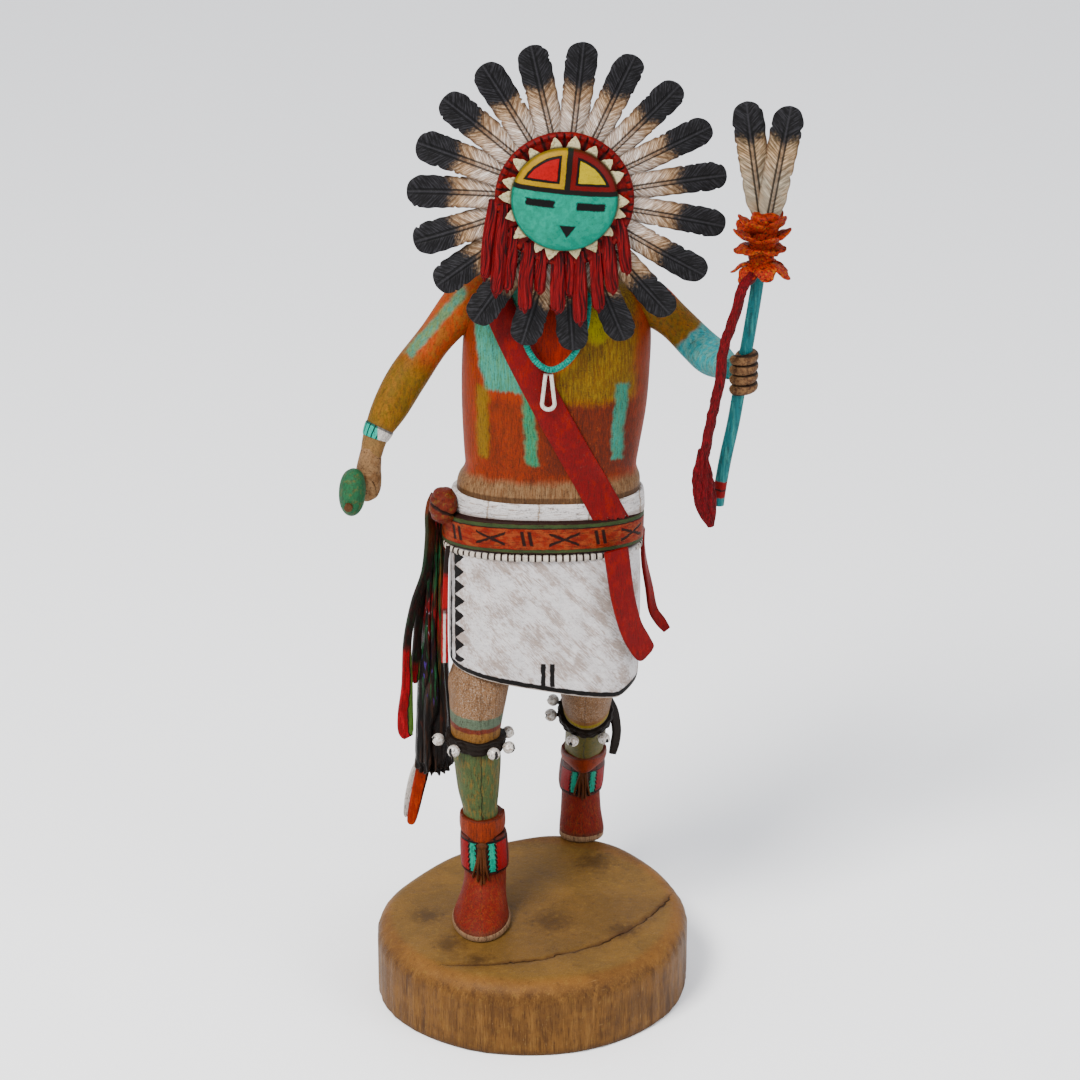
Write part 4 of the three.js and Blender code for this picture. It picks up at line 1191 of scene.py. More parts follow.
    def belt_paint(self, ring: Sequence[Vector]) -> bpy.types.Material:
        """Red belt with strokes and crosses by turns, between green and black edges."""
        g = Graph("belt_paint")
        at = g.coords()
        u, v = g.uv()
        v = v + g.wander(at, 2.5, 0.2)
        period = girth(ring) / self.motifs
        start = arc_at(ring, -1.2)
        pair = g.every(u - start + (v - 6.6) * 0.2, period)
        cross = g.every(u - (start + period / 2), period)
        strokes = g.patch((abs(pair), 0.75, 2), (v, 4.4, 10), soft=0.25)
        arms = abs(abs(v - 7) - abs(cross) * 0.4) + g.wander(at, 1.2, 0.3)
        crosses = g.patch((arms, -1, 0.5), (abs(cross), -1, 5.6), soft=0.2)
        edge = g.most(
            g.step(v, 1.75, 1.45), g.band(v, 11.1, 11.5, 0.12), g.step(v, 12.8, 13.1)
        )
        green = g.most(g.band(v, 1.6, 2.9, 0.2), g.band(v, 11.4, 13, 0.2))
        patchy = g.step(g.noise(at, (3, 3, 2), 3), 0.4, 0.6)
        ink = g.most(strokes, crosses, edge)
        colour = g.layers(
            g.mix(patchy, hexed("86220f"), hexed("97401e")), (green * 0.9, hexed("204a26")),
            (ink * 0.95, hexed("120806")),
        )
        coat = Aged(grain=(4, 4, 0.5), streak=0.4, mottle=0.45, wear=0.2, washed=0.5)
        return coat.finish(g, at, colour, 1.6 - g.most(ink, green * 0.5) * 3)

    def cord_paint(self) -> bpy.types.Material:
        """White beads with dark gaps."""
        g = Graph("cord_paint")
        at = g.coords()
        _, v = g.uv()
        gap = g.step(abs(g.every(v, self.cord_length() / self.ticks)), 0.5, 0.3)
        colour = g.layers(hexed("c4b8aa"), (gap, hexed("1c110a")))
        return Aged(wear=0.3, washed=0.4, shade=0.85, vivid=1).finish(g, at, colour)

    def cord_length(self) -> float:
        """The length of the cord's middle line."""
        z, x, y, a, b = self.belt[0]
        return girth(level_ring((z, x, y, a - 0.2, b + 0.2), self.at, 300, self.belt_power))


@dataclass
class Leg:
    """One leg with its boot, its rolled cuff and the wide band above the ankle.

    Bands of paint are given by their height over the middle of the bell strap,
    measured along the leg's own way: from, to, colour.
    """

    name: str
    leg: Sequence[Row]
    anklet: Sequence[Row]
    cuff_at: Row
    cuff_reach: float
    cuff_lean: float
    knee: Row
    way: Row
    calf: tuple[str, str]
    bands: Sequence[tuple[float, float, str]]
    at: Vector = field(default_factory=lambda: shift("figure", 5.5, 27.8, 168.2))
    cuff_rows: Sequence[Row] = (
        (-3.4, 0.2), (-3.3, 0.7), (-2.4, 1.05), (0, 1.15), (1.6, 1.05), (3, 0.9), (3.6, 0.5),
        (3.6, -0.6),
    )
    cuff_point: float = 3.2
    boot_top: float = 52
    fringe: Sequence[float] = (-2.4, -1.3, -0.3, 0.8, 1.9)
    knot_height: float = 63.4
    knot_size: Row = (2, 1.1, 1.6)

    def build(self) -> None:
        """Makes the leg, the boot's sole, the ankle band, the cuff and its fringe."""
        leg = Bench.loft(
            f"leg_{self.name}", level_rings(self.leg, self.at, 80, (len(self.leg) - 1) * 9)
        )
        present(leg, Slot.BODY, self.leg_paint(), "figure")
        sole = Bench.loft(f"sole_{self.name}", self.sole_rings())
        coat = Aged(wear=0.5, washed=0.6)
        present(sole, Slot.BODY, painted(f"sole_{self.name}_paint", "a07c5c", coat), "figure")
        rings = level_rings(self.anklet, self.at, 96, 40)
        anklet = Bench.loft(f"anklet_{self.name}", rings)
        present(anklet, Slot.BODY, self.anklet_paint(rings[20]), "figure")
        cuff = Bench.loft(f"cuff_{self.name}", self.cuff_rings())
        present(cuff, Slot.BODY, self.cuff_paint(), "figure")
        self.add_fringe()

    def sole_rings(self) -> list[list[Vector]]:
        """A thin rim under the boot."""
        z, x, y, a, b = self.leg[0]
        rows = ((0, -0.4), (0.05, 0.4), (0.6, 0.75), (1.8, 0.75), (2.4, 0.55), (2.6, -0.6))
        sizes = ((z + h, x, y, a + out, b + out) for h, out in rows)
        return [level_ring(size, self.at, 96) for size in sizes]

    def leg_paint(self) -> bpy.types.Material:
        """The bare thigh, the bands at the knee, the painted calf and the boot."""
        g = Graph(f"leg_{self.name}_paint")
        at = g.coords()
        way = Vector(self.way).normalized()
        knee = (Vector(self.knee) + self.at).dot(way)
        s = at[0] * way.x + at[1] * way.y + at[2] * way.z - knee
        s = s + g.wander(at, 2.4, 0.35)
        stipple = g.step(g.noise(at, (0.5, 0.5, 0.5), 2, 0.8), 0.5, 0.62)
        blotch = g.step(g.noise(at, (1.3, 1.3, 4), 4, 0.7), 0.46, 0.66) * 0.8
        boot = g.step(at[2], self.boot_top + 8, self.boot_top + 6)
        crack = g.band(at[0] + g.wander(at, 6, 1.1) - self.cuff_at[0], -0.16, 0.16, 0.1)
        crack = crack * g.step(at[1], self.cuff_at[1] - 2, self.cuff_at[1] - 4)
        colour = g.layers(
            hexed("8a6444"), (stipple * 0.6, hexed("bda894")),
            (g.step(g.noise(at, (3, 3, 5), 3), 0.5, 0.7) * 0.5, hexed("7a5432")),
            *((g.band(s, low, high, 0.3) * 0.85, hexed(code)) for low, high, code in self.bands),
            (g.step(s, -1, -2), g.mix(blotch, hexed(self.calf[0]), hexed(self.calf[1]))),
            (crack * g.step(s, -1, -2) * 0.7, hexed("1c1208")),
            (boot * g.mixed(crack, 1, 0.75), g.mix(blotch * 0.5, hexed("7c1e0f"), hexed("8e4a1a"))),
            (g.step(at[2], 34.6, 33) * 0.6, hexed("5a3420")),
        )
        coat = Aged(streak=0.45, mottle=0.45, wear=0.3, washed=0.5)
        return coat.finish(g, at, colour, crack * g.mixed(boot, -2.4, -0.6))

    def anklet_paint(self, ring: Sequence[Vector]) -> bpy.types.Material:
        """Turquoise panels beside the knot and red ones outside, outlined in black."""
        g = Graph(f"anklet_{self.name}_paint")
        at = g.coords()
        u, v = g.uv()
        front = arc_at(ring, self.cuff_at[0] + self.at.x)
        steps = g.every(v, 2.1) * 0.35
        w = abs(g.every(u - front, girth(ring))) + g.wander(at, 1.3, 0.3)
        top, low = g.step(v, 14.2, 14.9), g.step(v, 2.3, 1.7)
        lines = g.most(
            g.band(w - steps, 2, 2.7), g.band(w + steps, 5.3, 6), g.band(w, 12.2, 13),
            g.band(v + steps, 1.4, 2.1), g.band(v, 14, 14.8), g.band(w, -1, 1.2) * 0.5,
        )
        colour = g.layers(
            hexed("7c2410"), (g.band(w - steps, 2.5, 5.6), hexed("12a283")),
            (g.band(w, 5.9, 12.4), hexed("9a1116")), (g.step(w, 2.4, 2), hexed("45220f")),
            (g.most(top, low), hexed("5a1e10")), (lines, hexed("0e0806")),
        )
        coat = Aged(streak=0.4, mottle=0.35, wear=0.16, washed=0.5)
        return coat.finish(g, at, colour, 1 - lines * 3)

    def cuff_paint(self) -> bpy.types.Material:
        """Red-brown, darker along both edges."""
        g = Graph(f"cuff_{self.name}_paint")
        at = g.coords()
        _, v = g.uv()
        edge = g.most(g.step(v, 1.6, 0.9), g.step(v, 7, 7.9) * 0.7)
        colour = g.layers(hexed("8c3214"), (edge * 0.8, hexed("2c120a")))
        return Aged(streak=0.5, mottle=0.5, wear=0.4, washed=0.6).finish(g, at, colour)

    def cuff_rings(self) -> list[list[Vector]]:
        """The rolled top of the boot, with a point at the front."""
        rings = []
        middle = self.at + Vector(self.cuff_at)
        for i in range(26):
            h, out = between(self.cuff_rows, i / 25)
            ring = []
            for j in range(96):
                a = j / 96 * TURN
                c, s = math.cos(a), math.sin(a)
                point = self.cuff_point * max(0, -s) ** 6 if h < 1 else 0
                point *= eased(1.2, -2.4, h) if h > -2.4 else 1
                wave = 0.22 * math.sin(a * 5 + 1) + 0.14 * math.sin(a * 11)
                r = self.cuff_reach + out + wave * 0.7
                spot = Vector((c * r, s * r * 1.06 - self.cuff_lean * h, h - point + wave))
                ring.append(middle + spot)
            rings.append(ring)
        return rings

    def add_fringe(self) -> None:
        """Makes the thin strips that hang from the knot at the front."""
        paint = painted(f"fringe_{self.name}_paint", "5c3014", Aged(washed=0.7))
        pieces = []
        x0 = self.cuff_at[0] - 0.1
        for k, lean in enumerate(self.fringe):
            rows = []
            for i in range(6):
                t = i / 5
                z = mixed(64, 46.4 + abs(lean) * 1.1, t)
                stations = self.anklet if z > self.anklet[0][0] else self.leg
                _, x, y, a, b = section_at(stations, z)
                side = x0 + lean * (0.3 + 1.1 * t) + 0.25 * math.sin(k * 2 + i)
                left = max(0.1, 1 - ((side - x) / a) ** 2)
                size = 0.62 - 0.2 * t
                rows.append((side, y - b * math.sqrt(left) - 0.35, z, size, size))
            name = f"strip_{self.name}_{k}"
            pieces.append(Bench.loft(name, limb_rings(rows, self.at, 12, 20)))
        knot = Bench.loft(f"knot_{self.name}", self.knot_rings())
        piece = Bench.joined(f"fringe_{self.name}", [*pieces, knot])
        present(piece, Slot.BODY, paint, "figure")

    def knot_rings(self) -> list[list[Vector]]:
        """The small knot at the point of the cuff."""
        wide, deep, high = self.knot_size
        _, _, y, _, b = section_at(self.anklet, self.knot_height)
        rows = []
        for i in range(1, 12):
            a = i / 12 * math.pi
            size = math.sin(a)
            z = self.knot_height - high * math.cos(a)
            rows.append((z, self.cuff_at[0], y - b - 0.2, wide * size, deep * size))
        return [level_ring(row, self.at, 24) for row in rows]


FRONT_LEG = Leg(
    name="front",
    leg=(
        (30.3, -19.2, -9.5, 10.6, 17.4), (33, -19.3, -9.6, 10.8, 17.7), (37, -18.9, -8, 9.7, 15),
        (42, -18.2, -4.6, 8.5, 10.8), (48, -17.7, -2.2, 8.1, 8.8), (62, -18.2, -1.8, 8, 8.2),
        (74, -19.4, -1.6, 6.7, 7.6), (84, -20.1, -1.6, 8, 8.8), (96, -20.4, -2.4, 9, 9.6),
        (103, -21, -2.8, 9.2, 9.6), (109, -21, -2.2, 9.5, 10.4), (115, -20.6, -0.4, 10.2, 11.6),
        (121, -20.1, 1.8, 11, 12.6), (128, -19.6, 3.8, 11.8, 13.4), (136, -18, 7, 10.4, 12),
    ),
    anklet=(
        (50.5, -17.8, -2, 8.3, 9), (50.8, -17.8, -2, 8.9, 9.6), (52.4, -17.8, -2, 9.3, 9.9),
        (57, -18, -1.9, 9.4, 9.9), (63, -18.2, -1.8, 9.2, 9.4), (65.8, -18.4, -1.8, 8.7, 8.9),
        (66, -18.4, -1.8, 7.9, 8.2),
    ),
    cuff_at=(-18.8, -1.8, 70),
    cuff_reach=7.7,
    cuff_lean=0,
    knee=(-21, -2.7, 105.6),
    way=(0.06, 0, 1),
    calf=("506038", "86662a"),
    bands=((1.5, 6.2, "8a5c22"), (6, 8, "66160d"), (7.8, 11.6, "4f6a56")),
)

BACK_LEG = Leg(
    name="back",
    leg=(
        (30.3, 20.4, 62, 8.3, 7), (33, 20.5, 62.6, 9.1, 7.8), (40, 20.2, 66.4, 8.2, 8.4),
        (48, 20.2, 70.4, 7.8, 9.2), (56, 20.6, 71.4, 7.9, 10), (66, 21, 63.4, 7.6, 9.8),
        (78, 21.5, 53.4, 7.9, 10.4), (88, 21.8, 45.2, 8.2, 10.8), (97, 21.8, 37.6, 8.8, 11.2),
        (104, 21.8, 32.6, 9.6, 10.6), (112, 21.8, 28.6, 10.6, 10.8), (124, 21.4, 24.4, 11, 12.2),
        (142, 21, 19.6, 11.8, 13.4),
    ),
    anklet=(
        (48, 20.2, 70.4, 8.2, 9.6), (48.3, 20.2, 70.5, 8.7, 10.1), (51, 20.3, 71.4, 9.2, 11),
        (56, 20.6, 70.4, 9.2, 11.2), (60, 20.9, 68.6, 9.1, 11.4), (63.8, 21, 65.4, 8.6, 10.6),
        (64, 21, 65.2, 8, 10),
    ),
    cuff_at=(21.1, 61.4, 68),
    cuff_reach=8.1,
    cuff_lean=0.85,
    knee=(21.5, 38.4, 97),
    way=(0, -0.62, 0.78),
    calf=("6b5f24", "45551f"),
    bands=((2.4, 4, "7d735a"), (3.8, 6.4, "9a860c"), (6.2, 9, "8a5c34")),
    boot_top=48,
)


# ------------------------------------------------------------------- the arms


@dataclass
class RightArm:
    """The raised right arm, with its wristband and the fist round the rattle."""

    at: Vector = field(default_factory=lambda: shift("right_arm", -40.1, 5.7, 246.2))
    arm: Sequence[Row] = (
        (-15, 13, 281, 7.2, 7.6), (-22.9, 12, 276.6, 8.2, 8.2), (-34.7, 10.4, 263, 6.7, 7.2),
        (-44.9, 8, 249, 7.5, 7.4), (-51.4, 4, 238.4, 6.8, 6.8), (-56.8, 0.4, 228.6, 4.7, 4.9),
        (-58.8, -1.8, 221.4, 4, 4.4),
    )
    fist: Sequence[Row] = (
        (-58.6, -1.6, 224.4, 3.4, 3.8), (-58.8, -1.8, 222.6, 3.9, 4.2),
        (-59.7, -2.8, 216.4, 4.6, 5.2), (-60.4, -3.4, 210, 4.9, 5.8),
        (-60.6, -3.8, 206.4, 4, 4.9), (-60.6, -3.8, 205, 2, 2.6),
    )
    band_from: float = 0.785
    band_to: float = 0.86
    band_grow: float = 0.6

    def build(self) -> None:
        """Makes the arm, the hand and the wristband."""
        arm = Bench.loft("arm_right", limb_rings(self.arm, self.at, 80, 110, arm_muscle))
        present(arm, Slot.BODY, self.arm_paint(), "right_arm")
        fist = Bench.loft("hand_right", limb_rings(self.fist, self.at, 72, 80))
        Bench.push(fist, self.knuckles)
        present(fist, Slot.BODY, hand_paint("hand_right_paint"), "right_arm")
        rows = [between(self.arm, mixed(self.band_from, self.band_to, i / 6)) for i in range(7)]
        for i, row in enumerate(rows):
            swell = self.band_grow * (0.4 + 0.6 * math.sin(math.pi * i / 6) ** 0.4)
            row[3] += swell
            row[4] += swell
        rings = limb_rings(rows, self.at, 80, 20)
        band = Bench.loft("bead_band", rings)
        present(band, Slot.TURQUOISE, self.band_paint(rings[10]), "wristband")

    def knuckles(self, spot: Vector, _: Vector) -> float:
        """Grooves between the fingers that close round the rattle's stick."""
        low = eased(216, 212, spot.z)
        groove = math.cos((spot.y + spot.z * 0.25) / 2.5 * math.pi) ** 16
        return 0.3 * low - 0.7 * groove * low

    def arm_paint(self) -> bpy.types.Material:
        """Orange at the shoulder with a turquoise stripe, ochre below the elbow."""
        g = Graph("arm_right_paint")
        at = g.coords()
        _, v = g.uv()
        v = v + g.wander(at, 4, 1)
        drift = g.wander(at, 3, 0.7)
        mix = g.step(g.noise(at, (1.4, 1.4, 4), 4), 0.42, 0.6)
        line = at[0] + (at[2] - 270) * -0.86 + 29.6 + drift
        stripe = g.patch((line, -7.2, -3), (v, 7, 38), soft=1) * g.step(at[1], 12, 9)
        colour = g.layers(
            g.mix(mix, hexed("a84312"), hexed("96521a")),
            (g.step(v, 33, 44), g.mix(mix, hexed("77570f"), hexed("8a5c16"))),
            (stripe * 0.85, g.mix(mix, hexed("2b8f76"), hexed("5a8a5e"))),
            (g.step(v, 64, 72) * 0.6, hexed("8a6a48")),
        )
        coat = Aged(grain=(0.9, 0.5, 2.4), streak=0.5, mottle=0.45, wear=0.2, washed=0.22)
        return coat.finish(g, at, colour)

    def band_paint(self, ring: Sequence[Vector]) -> bpy.types.Material:
        """Half turquoise beads and half white shell."""
        g = Graph("bead_band_paint")
        at = g.coords()
        u, v = g.uv()
        gap = g.step(abs(g.every(u, girth(ring) / 16)), 0.28, 0.14)
        white = g.step(at[0] + self.at.x + 56.4, 0, 0.6)
        edge = g.most(g.step(v, 1, 0.6), g.step(v, 4.6, 5.2))
        colour = g.layers(
            hexed("10a48e"), (gap, hexed("06251f")), (white, hexed("c9c2bb")),
            (edge * 0.8, hexed("14100c")),
        )
        coat = Aged(streak=0.2, mottle=0.4, wear=0.1, shade=0.74)
        return coat.finish(g, at, colour, 1 - gap * 2)


def arm_muscle(angle: float, t: float) -> float:
    """The swell of a carved arm above and below the elbow."""
    return 1 + 0.035 * math.sin(angle * 2 + 0.6) * math.sin(t * math.pi * 3)


def hand_paint(name: str) -> bpy.types.Material:
    """Brown hands with dark lines between the fingers."""
    g = Graph(name)
    at = g.coords()
    colour = g.layers(
        hexed("94704c"), (g.step(g.noise(at, (3, 3, 3), 3), 0.45, 0.66) * 0.8, hexed("76502e")),
        (g.step(g.carved(), -0.08, -0.4) * 0.85, hexed("1e120a")),
    )
    return Aged(grain=(0.9, 0.9, 0.9), wear=0.12, washed=0.5).finish(g, at, colour)


@dataclass
class LeftArm:
    """The bent left arm and the hand that holds the staff."""

    at: Vector = field(default_factory=lambda: shift("left_arm", 59.3, -2.5, 269))
    arm: Sequence[Row] = (
        (36, 13, 280, 7.2, 7.6), (43.6, 12.2, 276.2, 8.1, 8.2), (53, 12, 268.6, 6.8, 7.2),
        (61.4, 8.6, 261, 7, 7.2), (66.6, 1.4, 258.4, 7, 7.2), (70.4, -7.6, 258.8, 5.2, 5.8),
        (73.2, -14, 259.6, 4, 4.6),
    )
    fist_at: Row = (76.6, -19.4, 260.4)
    fist_size: Row = (5.6, 6, 8.2)
    power: float = 2.6

    def build(self) -> None:
        """Makes the arm and the hand with its fingers round the rod."""
        arm = Bench.loft("arm_left", limb_rings(self.arm, self.at, 80, 110, arm_muscle))
        present(arm, Slot.BODY, self.arm_paint(), "left_arm")
        rings = []
        x, y, z = self.fist_at
        a, b, c = self.fist_size
        for i in range(1, 40):
            h, r = superellipse(math.pi * (1 - i / 40), self.power)
            size = (z + h * c * 0.96, x + 0.6, y + 0.6, (a - 1.3) * r, (b - 1) * r)
            rings.append(level_ring(size, self.at, 72, self.power))
        pieces = [Bench.loft("palm", rings)]
        for k in range(4):
            rows = []
            for i in range(7):
                turn = math.radians(mixed(40, -172, i / 6))
                size = 2.05 if i < 6 else 1.3
                rows.append((
                    x + 3.9 * math.cos(turn), y + 4.3 * math.sin(turn),
                    z - 5.6 + 3.75 * k + 0.5 * math.cos(turn), size, size * 0.9,
                ))
            pieces.append(Bench.loft(f"finger_{k}", hoop_rings(rows, self.at, 28, 60)))
        hand = Bench.joined("hand_left", pieces)
        present(hand, Slot.BODY, self.fingers_paint(), "left_arm")

    def arm_paint(self) -> bpy.types.Material:
        """Ochre on the upper arm, turquoise from the elbow to the hand."""
        g = Graph("arm_left_paint")
        at = g.coords()
        _, v = g.uv()
        v = v + g.wander(at, 4, 1)
        mix = g.step(g.noise(at, (1.6, 1.6, 4), 4), 0.42, 0.6)
        colour = g.layers(
            g.mix(mix, hexed("8f5a14"), hexed("7a5a12")),
            (g.step(at[2], 276, 280), hexed("a8430f")),
            (g.step(v, 27.5, 30), g.mix(mix * 0.5, hexed("2d9aa0"), hexed("7fa590"))),
        )
        coat = Aged(grain=(1.4, 0.6, 2.2), streak=0.5, mottle=0.4, wear=0.22, washed=0.4)
        return coat.finish(g, at, colour)

    def fingers_paint(self) -> bpy.types.Material:
        """Brown, dark between the fingers."""
        g = Graph("fingers_paint")
        at = g.coords()
        lines = abs(g.every(at[2] - (self.fist_at[2] - 3.72) - self.at.z, 3.75))
        joint = g.band(abs(at[0] - self.fist_at[0] - 1.4 - self.at.x), 0.05, 0.28, 0.1)
        colour = g.layers(
            hexed("84603f"), (g.step(g.noise(at, (1.2, 1.2, 1.2), 3), 0.45, 0.62), hexed("64422a")),
            (g.step(lines, 0.62, 0.2) * 0.9, hexed("160c07")), (joint * 0.5, hexed("24140b")),
        )
        return Aged(grain=(0.9, 0.9, 0.9), wear=0.12, washed=0.5).finish(g, at, colour)


def hoop_rings(stations: Sequence[Row], at: Vector, sides: int, steps: int) -> list[list[Vector]]:
    """Ovals square to a line that runs round an upright rod, tapered shut at both ends."""
    rings = []
    for i in range(steps + 1):
        t = i / steps
        x, y, z, across, deep = between(stations, t)
        way = Vector(between(stations, t + 0.02)[:3]) - Vector(between(stations, t - 0.02)[:3])
        out = way.cross(Vector((0, 0, 1))).normalized()
        end = math.sqrt(max(0.03, 1 - max(0, abs(t - 0.5) * 2 - 0.86) ** 2 / 0.0197))
        ring = []
        for j in range(sides):
            c, s = math.cos(j / sides * TURN), math.sin(j / sides * TURN)
            ring.append(at + Vector((x, y, z + s * across * end)) + out * (c * deep * end))
        rings.append(ring)
    return rings


@dataclass
class Rattle:
    """The green gourd rattle on its stick, in the right hand."""

    at: Vector = field(default_factory=lambda: shift("gourd_rattle", -63.5, -8.9, 211.2))
    gourd_at: Row = (-65.4, -13.4, 211.2)
    size: Row = (5, 7, 9.2)
    lean: float = 4
    handle: float = 1.5

    def build(self) -> None:
        """Makes the gourd and its stick."""
        lean = Matrix.Rotation(math.radians(self.lean), 3, "Y")
        middle = self.at + Vector(self.gourd_at)
        rings = []
        for i in range(1, 48):
            h, r = superellipse(math.pi * (1 - i / 48), 2.1)
            a, b, c = self.size
            ring = level_ring((h * c, 0, 0, a * r, b * r), Vector(), 72, 2.1)
            rings.append([middle + lean @ point for point in ring])
        gourd = Bench.loft("gourd", rings)
        x, y, z = self.gourd_at
        r = self.handle
        rows = ((x - 1.2, y - 8.2, z - 3.2, r, r), (x, y, z - 3, r, r),
                (x + 5.2, y + 10.4, z - 2, r, r), (x + 7.4, y + 17, z - 1.6, r, r))
        stick = Bench.loft("rattle_stick", limb_rings(rows, self.at, 32, 24))
        dents = random.Random(5)
        spots = [
            (Vector([dents.gauss(0, 1) for _ in range(3)]).normalized(), dents.uniform(0.1, 0.3))
            for _ in range(16)
        ]

        def dent(spot: Vector, _: Vector) -> float:
            """Shallow knife marks all over the gourd."""
            way = (spot - middle).normalized()
            return -sum(deep * eased(0.93, 1, way.dot(mark)) for mark, deep in spots)

        Bench.push(gourd, dent)
        present(gourd, Slot.GREEN, self.gourd_paint(), "gourd_rattle")
        coat = Aged(grain=(0.6, 3, 0.6), washed=0.6)
        present(stick, Slot.GREEN, painted("stick_paint", "5c3a20", coat), "gourd_rattle")

    def gourd_paint(self) -> bpy.types.Material:
        """Green rubbed through to brown."""
        g = Graph("gourd_paint")
        at = g.coords()
        rub = g.step(g.noise(at, (2.2, 2.2, 2.2), 4, 0.65), 0.52, 0.66)
        colour = g.layers(
            hexed("256540"), (rub * 0.75, hexed("62602e")),
            (g.step(g.noise(at, (0.8, 0.8, 0.8), 3), 0.62, 0.7) * 0.7, hexed("4c2a14")),
        )
        return Aged(grain=(0.7, 0.7, 2), wear=0.2, washed=0.35).finish(g, at, colour)


# ------------------------------------------------------------------- feathers


@dataclass
class Feather:
    """One flat carved feather, from its quill up its own length."""

    length: float
    quill: float = 2.6
    shoulder: float = 5.3
    widest: float = 5.9
    thick: float = 1.7
    seed: int = 0
    steps: int = 84
    sides: int = 44

    def half(self, t: float) -> float:
        """Half its width at a share of its length."""
        if t < 0.2:
            return mixed(self.quill, self.shoulder, math.sin(t / 0.2 * math.pi / 2))
        if t < 0.8:
            return mixed(self.shoulder, self.widest, (t - 0.2) / 0.6)
        return self.widest * max(0.0, 1 - ((t - 0.8) / 0.2) ** 2.6) ** 0.42

    def rings(self) -> tuple[list[list[Vector]], list[list[float]]]:
        """Flat rings from the quill to the tip in its own frame, and the way across."""
        draw = random.Random(self.seed)
        splits = [(draw.uniform(0.35, 0.97), draw.choice((-1, 1)), draw.uniform(0.25, 0.7))
                  for _ in range(7)]
        phase, bend = draw.uniform(0, 6), draw.uniform(-0.5, 0.5)
        rings, across = [], []
        for i in range(self.steps + 1):
            t = 1 - (1 - i / self.steps) ** 1.3
            half = max(self.half(min(t, 0.999)), 0.3)
            ring, places = [], []
            for j in range(self.sides):
                c, s = superellipse(j / self.sides * TURN, 3.4)
                edge = sum(
                    deep * math.exp(-(((t - at) / 0.011) ** 2))
                    for at, side, deep in splits if side * c > 0
                )
                edge += 0.12 * math.sin(t * 46 + phase + c)
                x = c * (half - edge * abs(c) ** 3)
                barb = 0.055 * math.sin((t * self.length - abs(x) * 0.9) / 1.05 * TURN + phase)
                shaft = 0.34 * math.exp(-((x / 0.62) ** 2)) - 0.2 * math.exp(
                    -(((abs(x) - 1.15) / 0.4) ** 2)
                )
                wall = self.thick / 2 * (1 - 0.5 * c * c) * (1 - 0.35 * t)
                deep = s * (wall + (shaft * (1 - t * 0.7) + barb) * min(1, half / 2))
                ring.append(Vector((x + bend * math.sin(t * 2.6), deep, t * self.length)))
                places.append(x)
            rings.append(ring)
            across.append(places)
        return rings, across

    def build(self, name: str, place: Matrix) -> bpy.types.Object:
        """Makes the feather and moves it to its place.

        Args:
            name: The piece's name.
            place: Where it goes, with its quill end at the origin; millimetres.

        Returns:
            The new object.
        """
        rings, across = self.rings()
        moved = [[place @ point for point in ring] for ring in rings]
        return Bench.loft(name, moved, across=across)


def feather_paint(
    name: str, black: float, brown: float, base: str, gold: str, pale: str = "ece2d8"
) -> bpy.types.Material:
    """Eagle feathers: pale at the quill, brown further out, black at the tip.

    Args:
        name: The material's name.
        black: How far along the black begins, in millimetres.
        brown: How far along the brown is deepest.
        base: The colour at the quill.
        gold: The colour below the black.
        pale: The colour of the fine barbs near the quill.

    Returns:
        The material.
    """
    g = Graph(name)
    at = g.coords()
    x, v = g.uv()
    side = abs(x)
    slant = v - side * 0.9
    ragged = g.noise(at, (0.9, 0.9, 0.9), 3)
    lines = g.noise((slant, x, slant), (0.34, 4, 60), 2, 0.7)
    fine = g.step(lines, 0.5, 0.6)
    dark = g.step(lines, 0.5, 0.36)
    broad = g.noise(at, (4, 4, 4), 3)
    out = v + (ragged - 0.5) * 7 + (lines - 0.5) * 4 + (broad - 0.5) * 5 - side * 0.35
    tip = g.step(out, black - 2.6, black + 3)
    amber = g.step(out, brown - 13, brown)
    shaft = g.band(side, 0.42, 1.15, 0.2) * g.step(v, 40, 30)
    spine = g.step(side, 0.42, 0.2)
    rim = g.step(side, 4.2, 5.4) * 0.75
    colour = g.layers(
        hexed(base), (amber * 0.9, hexed(gold)),
        (g.step(broad, 0.44, 0.62) * 0.45, hexed("8a6a48")),
        (fine * 0.8, g.mix(amber, hexed(pale), hexed("c0a07c"))),
        (dark * 0.62, hexed("432a18")), (rim, hexed("3a2313")),
        (spine * 0.5, hexed("5c4230")), (shaft * 0.9, hexed("16100d")),
        (tip, g.mix(fine * 0.5, hexed("0b0a0b"), hexed("37363a"))),
        (tip * spine * 0.5, hexed("2c2b2e")), (tip * shaft * 0.8, hexed("040404")),
    )
    rough = 0.5 + (ragged - 0.5) * 0.3
    colour = g.tone(colour, PIGMENT + 0.04, 1.0)
    return g.finish(colour, rough, lines * 1.3 - shaft * 1.4, 0.16)


@dataclass
class Crown:
    """The ring of feathers round the head."""

    count: int = 19
    turn: float = -12.6
    root: float = 20.5
    tip: float = 57
    longest: float = 140
    twist: float = 13
    black: float = 19
    brown: float = 18.6

    def middle(self) -> Vector:
        """The middle of the ring of feathers."""
        head = centre("head_block")
        depth = centre("crown_feather_01").y
        return Vector((head.x + 0.3, depth, head.z + 0.2))

    def build(self) -> None:
        """Makes every feather."""
        paint = feather_paint("crown_paint", self.black, self.brown, "9a8676", "664a2c")
        for i in range(self.count):
            turn = self.turn + i * 360 / self.count
            tip = self.tip + 1.2 * math.cos(math.radians(turn - self.longest))
            place = (
                Matrix.Translation(self.middle())
                @ Matrix.Rotation(math.radians(turn), 4, "Y")
                @ Matrix.Translation(Vector((0, 0, self.root)))
                @ Matrix.Rotation(math.radians(self.twist), 4, "Z")
            )
            number = f"{i + 1:02d}"
            feather = Feather(tip - self.root, seed=i).build(f"crown_{number}", place)
            present(feather, Slot.FEATHER, paint, f"crown_feather_{number}")


